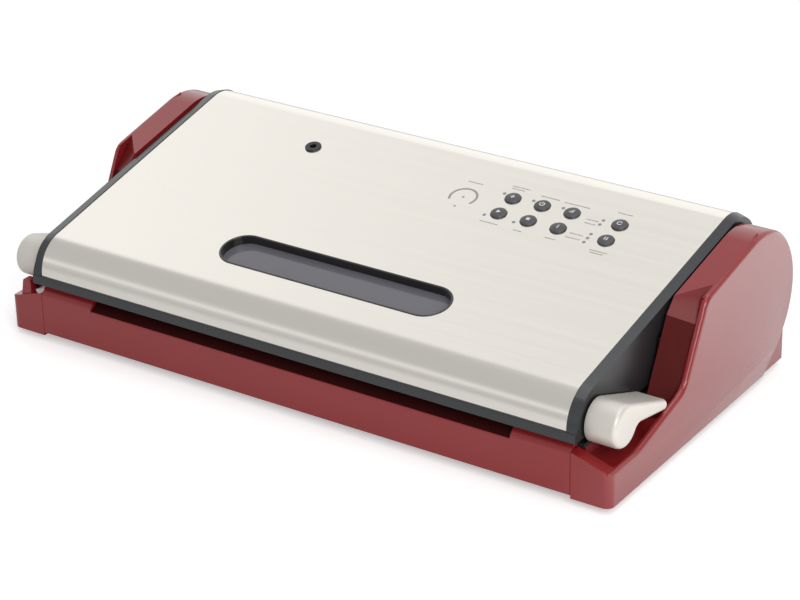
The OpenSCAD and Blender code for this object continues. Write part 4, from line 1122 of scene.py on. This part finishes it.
@dataclass
class Housing:
    """Red base: pan, apron, side housings, rear cover, feet and inlet."""

    foot_x: float = 165.0
    foot_y: tuple[float, float] = (26.0, 186.0)
    roll: float = 2.6
    slab_x: float = 202.2
    corner_r: float = 5.0
    rim_z: float = 21.0
    rim_foot: tuple[float, float] = (81.04, 34.0)
    tower_y: float = 104.6
    back_r: float = 44.0
    back_y: float = 167.4
    face_sweep: float = math.radians(31.0)
    face_lean: float = math.radians(62.6)
    bevel_lean: float = math.radians(43.6)
    bevel: tuple[float, float, float] = (194.59, 102.42, 73.86)
    sill_lean: float = math.radians(33.0)
    rib_x: tuple[float, float] = (197.0, 201.6)
    rib_low: float = 72.0
    rib_depth: float = 9.0
    rib_hair: float = 0.12

    def skin(self, y: float) -> float:
        """Height of the lid's top plane at a distance behind the front face."""
        return LAYOUT.touch[1] + (y - LAYOUT.touch[0]) * math.tan(LAYOUT.tilt)

    def side_outline(self) -> np.ndarray:
        """Side view of a side housing: rising rim, steep front, sloping top, round back, flat sole.

        The round back is an arc of radius back_r that touches the lid's top plane and ends 60 degrees
        below the level of its centre.
        """
        centre = np.array([self.back_y, self.skin(self.back_y) - self.back_r / math.cos(LAYOUT.tilt)])
        back = centre + self.back_r * on_circle(np.linspace(math.pi / 2 + LAYOUT.tilt, -math.pi / 3, 70))
        corners = [(0.0, 0.0, 1.0), (0.0, self.rim_z, 3.0), (30.0, self.rim_z, 30.0), (*self.rim_foot, 14.0),
                   (self.tower_y, self.skin(self.tower_y), 10.0), *((y, z, 0.0) for y, z in back),
                   (self.back_y + 8.6, 0.0, 0.0)]
        return fillet(corners, step_deg=4.0)[::-1]

    def rolled_side(self, side: int) -> bpy.types.Object:
        """Outer slab of a side housing with a rolled edge.

        The side outline is carried along X. Over the last millimetres each point is drawn in along its
        normal by r - sqrt(r^2 - d^2), where d is the way into the roll, and no point stays in front of
        the same curve with the corner's radius. The front face and the sole keep their places.

        Args:
            side: 1 for the right housing, -1 for the left one.

        Returns:
            The new object.
        """
        flat = self.side_outline()
        out = outward_of(flat)
        a = np.linspace(0, np.pi / 2, 9)
        x = np.concatenate([[self.slab_x], LAYOUT.half_w - self.roll + self.roll * np.sin(a)])
        drawn = lambda r: r - np.sqrt(np.clip(r * r - np.clip(x - LAYOUT.half_w + r, 0, r) ** 2, 0, None))
        share = np.where(flat[:, 0] < 4.0, np.clip(out[:, 1], 0, 1), np.clip((out[:, 1] + 0.95) / 0.3, 0, 1))
        rings = flat[None] - out[None] * (drawn(self.roll)[:, None] * share)[:, :, None]
        rings[..., 0] = np.maximum(rings[..., 0], drawn(self.corner_r)[:, None])
        return adopt(lofted("right_side_roll" if side > 0 else "left_side_roll", side * x, rings, 40), "base")

    def cheeks(self) -> None:
        """Side housings with a rolled outer edge; painted shade gives a darker red to the face behind each lever and a
        shaded red to its bevel and rib.
        """
        for side, node in ((-1, "left_cheek"), (1, "right_cheek")):
            cheek = softened(node, 0.00045, cut=side * self.slab_x * MM)
            RED.on(cheek, self.rolled_side(side))
            # Painted shade: the rib takes the shaded red of the bevel.
            SHADED_RED.on(self.rib(side))
            across, ahead = math.sin(self.face_sweep), math.cos(self.face_sweep)
            # Painted shade: faces that look the way of the face behind the lever or of its bevel get darker reds.
            shade_faces(cheek.data, [((side * across, -ahead * math.sin(lean), ahead * math.cos(lean)), finish)
                                     for lean, finish in ((self.face_lean, PAINTED_SHADE_RED), (self.bevel_lean, SHADED_RED))])

    def rib(self, side: int) -> bpy.types.Object:
        """Rib behind the bevel of a tower's front, beside the rim.

        Its section across X has a front edge a hair behind the bevel and a top edge a hair below the
        tower's top. The front edge runs back with X as the bevel's plane does.

        Args:
            side: 1 for the right housing, -1 for the left one.

        Returns:
            The new object.
        """
        hair, x, low = self.rib_hair, np.array(self.rib_x), np.full(2, self.rib_low)
        rise, slant = 1 / math.tan(self.bevel_lean), math.tan(self.face_sweep) / math.sin(self.bevel_lean)
        level = self.bevel[1] + hair + slant * (x - self.bevel[0]) - rise * self.bevel[2]
        crest = (level + rise * (self.skin(0.0) - hair)) / (1 - rise * math.tan(LAYOUT.tilt))
        end = crest + self.rib_depth
        corners = ((level + rise * low, low), (crest, self.skin(crest) - hair),
                   (end, self.skin(end) - hair), (end, low))
        rings = np.stack([np.stack(corner, axis=-1) for corner in corners], axis=1)
        return adopt(lofted("right_tower_rib" if side > 0 else "left_tower_rib", side * x, rings), "base")

    def shells(self) -> None:
        """The other red mouldings with softened edges; the sill of the bag slot has painted shade, a darker and duller
        red.
        """
        apron = softened("front_apron", 0.0005)
        RED.on(apron, softened("bottom_pan", 0.0005), softened("rear_cover", 0.0))
        # Painted shade: the sill's faces get a darker, duller red.
        shade_faces(apron.data, [((0.0, -math.sin(self.sill_lean), math.cos(self.sill_lean)), SILL_PAINTED_SHADE)])

    def feet(self) -> None:
        """Four turned rubber feet with a hollow in the sole."""
        profile = np.array([[0, 2.5], [2.5, 2.5], [2.5, 0], [7.6, 0], [8.0, -0.4],
                            [8.0, -3.2], [7.4, -4.0], [5.0, -4.0], [4.4, -3.2], [0, -3.2]])
        for k, (side, y) in enumerate((s, y) for s in (-1, 1) for y in self.foot_y):
            place = lambda p, c=np.array([side * self.foot_x, y, 0.0]): LAYOUT.place(p + c)
            RUBBER.on(adopt(turned(f"foot_{k + 1}", profile, place, 40), "base", *(["feet"] if k == 0 else [])))

    def inlet(self) -> None:
        """Mains inlet, its pins and the bare plate beneath the pan."""
        BLACK.over(0.0004, "power_inlet")
        BRASS.over(0.0002, "inlet_pins")
        plate = fillet([(-35, -20, 2), (35, -20, 2), (35, 20, 2), (-35, 20, 2)])
        place = lambda p: LAYOUT.place(p * np.array([1.0, 1.0, -1.0]) + np.array([0, 100.0, 0]))
        PLATE.on(adopt(faced_out(prisms("bare_plate", [plate], place, -0.05, 0.1)), "base"))

    def build(self) -> None:
        """Makes every outer piece of the base."""
        self.cheeks()
        self.shells()
        self.feet()
        self.inlet()


@dataclass
class Chamber:
    """Deck with its trough, bar, seals and catches, and the works below the rear deck."""

    works: dict[str, Finish] = field(default_factory=lambda: {
        "pump_bracket": ZINC, "motor_can": ZINC, "motor_rotor": CORE, "pump_head": DARK, "vacuum_hose": RUBBER,
        "release_valve": NATURAL, "power_board": BOARD, "transformer": CORE, "board_parts": DARK, "base_screws": ZINC})

    def deck(self) -> None:
        """Black deck, rear deck, bar, tape and lower seal."""
        BLACK.over(0.0005, "chamber_deck", "rear_deck")
        ALLOY.over(0.0004, "sealing_bar")
        HEATER.over(0.0, "heating_element")
        TAPE.over(0.0001, "release_tape")
        FOAM.on(seal("lower_seal", 30.0, 1.95, "base", "lower_gasket"))
        ZINC.over(0.0002, "strikes")
        ZINC.over(0.0003, "hinge_pins")
        BLACK.over(0.0004, "lid_switch")

    def hidden(self) -> None:
        """Finishes of the works, which keep their solids."""
        for node, finish in self.works.items():
            finish.on(frame["nodes"][node])

    def build(self) -> None:
        """Makes every inner piece of the base."""
        self.deck()
        self.hidden()


# ---- Stage -------------------------------------------------------------------------------------
@dataclass(frozen=True)
class Studio:
    """Camera, lamps, pale floor and white surroundings."""

    focal_px: float = 2724.79
    yaw: float = math.radians(34.2499)
    pitch: float = math.radians(26.5378)
    roll: float = math.radians(1.3461)
    eye: tuple[float, float, float] = (805.89, -1073.11, 738.20)
    ambient: float = 0.42
    front_level: float = 0.58
    rear_level: float = 1.15
    strip_level: float = 0.38
    floor_glow: float = 0.42
    painted_floor_pool: float = 1.4

    def camera(self) -> None:
        """Places the camera from its yaw, pitch and roll."""
        cy, sy, cp, sp = math.cos(self.yaw), math.sin(self.yaw), math.cos(self.pitch), math.sin(self.pitch)
        ahead = np.array([-sy * cp, cy * cp, -sp])
        right = np.array([cy, sy, 0.0])
        down = np.cross(ahead, right)
        c, s = math.cos(self.roll), math.sin(self.roll)
        right, down = c * right + s * down, -s * right + c * down
        data = bpy.data.cameras.new("studio_camera")
        data.sensor_width, data.lens = 36.0, self.focal_px / 800 * 36.0
        data.clip_start, data.clip_end = 0.05, 20
        camera = bpy.data.objects.new("studio_camera", data)
        bpy.context.scene.collection.objects.link(camera)
        spin = Matrix((right, -down, -ahead)).transposed().to_4x4()
        camera.matrix_world = Matrix.Translation(Vector(LAYOUT.place(np.array(self.eye)))) @ spin
        bpy.context.scene.camera = camera

    def lamp(self, name: str, place: tuple[float, float, float], target: tuple[float, float, float],
             size: tuple[float, float], watts: float) -> None:
        """Adds a rectangular soft lamp at a place, turned to a target."""
        data = bpy.data.lights.new(name, "AREA")
        data.shape, data.size, data.size_y, data.energy = "RECTANGLE", size[0], size[1], watts
        lamp = bpy.data.objects.new(name, data)
        bpy.context.scene.collection.objects.link(lamp)
        lamp.location = place
        lamp.rotation_euler = (Vector(target) - Vector(place)).to_track_quat("-Z", "Y").to_euler()

    def surroundings(self) -> None:
        """World: white to the camera, even as a light, and a studio with a bright rear and left in reflections.

        The reflected level depends on the direction (x, y, z): a plain front, a rear that brightens
        to the left, a bright backdrop low behind, and a strip light low in front.
        """
        world = bpy.data.worlds.new("white_room")
        bpy.context.scene.world = world
        world.use_nodes = True
        tree = world.node_tree
        back = tree.nodes["Background"]
        back.inputs[0].default_value = (1, 1, 1, 1)
        way = wire(tree, "SeparateXYZ", None, i0=tree.nodes.new("ShaderNodeTexCoord").outputs["Generated"])
        x, y, z = way.outputs
        smooth = lambda source, a, b, lo=0.0, hi=1.0: wire(
            tree, "MapRange", {"interpolation_type": "SMOOTHSTEP", 1: a, 2: b, 3: lo, 4: hi}, i0=source).outputs[0]
        blend = lambda factor, p, q: wire(tree, "MapRange", None, i0=factor, i3=p, i4=q).outputs[0]
        side = wire(tree, "MapRange", {1: -0.62, 2: -0.40, 3: 1.16, 4: 0.77}, i0=x).outputs[0]
        level = blend(smooth(y, 0.12, 0.30), steady(tree, self.front_level), side)
        level = blend(smooth(y, 0.55, 0.68), level, steady(tree, self.rear_level))
        strip = calc(tree, "MULTIPLY", i0=smooth(z, 0.18, 0.27), i1=smooth(z, 0.34, 0.42, 1.0, 0.0))
        strip = calc(tree, "MULTIPLY", i0=strip, i1=smooth(y, -0.72, -0.5, self.strip_level, 0.0))
        level = calc(tree, "ADD", i0=level, i1=strip)
        rays = tree.nodes.new("ShaderNodeLightPath")
        level = blend(rays.outputs["Is Glossy Ray"], steady(tree, self.ambient), level)
        shown = calc(tree, "MAXIMUM", i0=rays.outputs["Is Camera Ray"], i1=rays.outputs["Is Transmission Ray"])
        tree.links.new(blend(shown, level, steady(tree, 1.0)), back.inputs[1])

    def floor(self) -> None:
        """Pale floor that shows white and keeps the shadow; in reflections only it glows more to the right and behind,
        a painted pool of light.
        """
        half = 3.0
        points = np.array([[-half, -half, 0], [half, -half, 0], [half, half, 0], [-half, half, 0]])
        obj = new_object("pale_floor", points, [[0, 1, 2, 3]])
        material = bpy.data.materials.new("pale_floor")
        material.use_nodes = True
        tree = material.node_tree
        shader = tree.nodes["Principled BSDF"]
        shader.inputs["Base Color"].default_value = (0.86, 0.86, 0.86, 1)
        shader.inputs["Roughness"].default_value = 0.8
        where = wire(tree, "SeparateXYZ", None, i0=tree.nodes.new("ShaderNodeTexCoord").outputs["Object"])
        # Painted light: a glow that grows towards the right, seen only in reflections.
        shine = wire(tree, "MapRange", {1: 0.16, 2: 0.30, 3: 0.0, 4: self.painted_floor_pool}, i0=where.outputs[0])
        rays = tree.nodes.new("ShaderNodeLightPath")
        mirrored = calc(tree, "MULTIPLY", i0=rays.outputs["Is Glossy Ray"], i1=shine.outputs[0])
        level = calc(tree, "MULTIPLY_ADD", {1: self.floor_glow}, i0=rays.outputs["Is Camera Ray"], i2=mirrored)
        shader.inputs["Emission Color"].default_value = (1, 1, 1, 1)
        tree.links.new(level, shader.inputs["Emission Strength"])
        obj.data.materials.append(material)

    def build(self) -> None:
        """Sets the whole stage."""
        self.camera()
        self.lamp("high_softbox", (0.25, 0.1, 1.7), (0, 0, 0.05), (1.6, 1.2), 9)
        self.lamp("side_softbox", (1.3, -1.1, 1.1), (0, 0, 0.05), (1.2, 1.0), 17)
        self.surroundings()
        self.floor()
        bpy.context.scene.view_settings.view_transform = "Standard"


def main() -> None:
    """Builds the stage and the machine and reports each piece."""
    logging.basicConfig(level=logging.INFO, format="%(name)s: %(message)s")
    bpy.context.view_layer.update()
    Studio().build()
    for part in (Lid(), Buttons(), Levers(), Housing(), Chamber()):
        before = set(bpy.data.objects)
        part.build()
        for obj in sorted(set(bpy.data.objects) - before, key=lambda o: o.name):
            log.info("%s: %s, %d faces", type(part).__name__, obj.name, len(obj.data.polygons))
    bpy.context.view_layer.update()


if __name__ == "__main__":
    main()
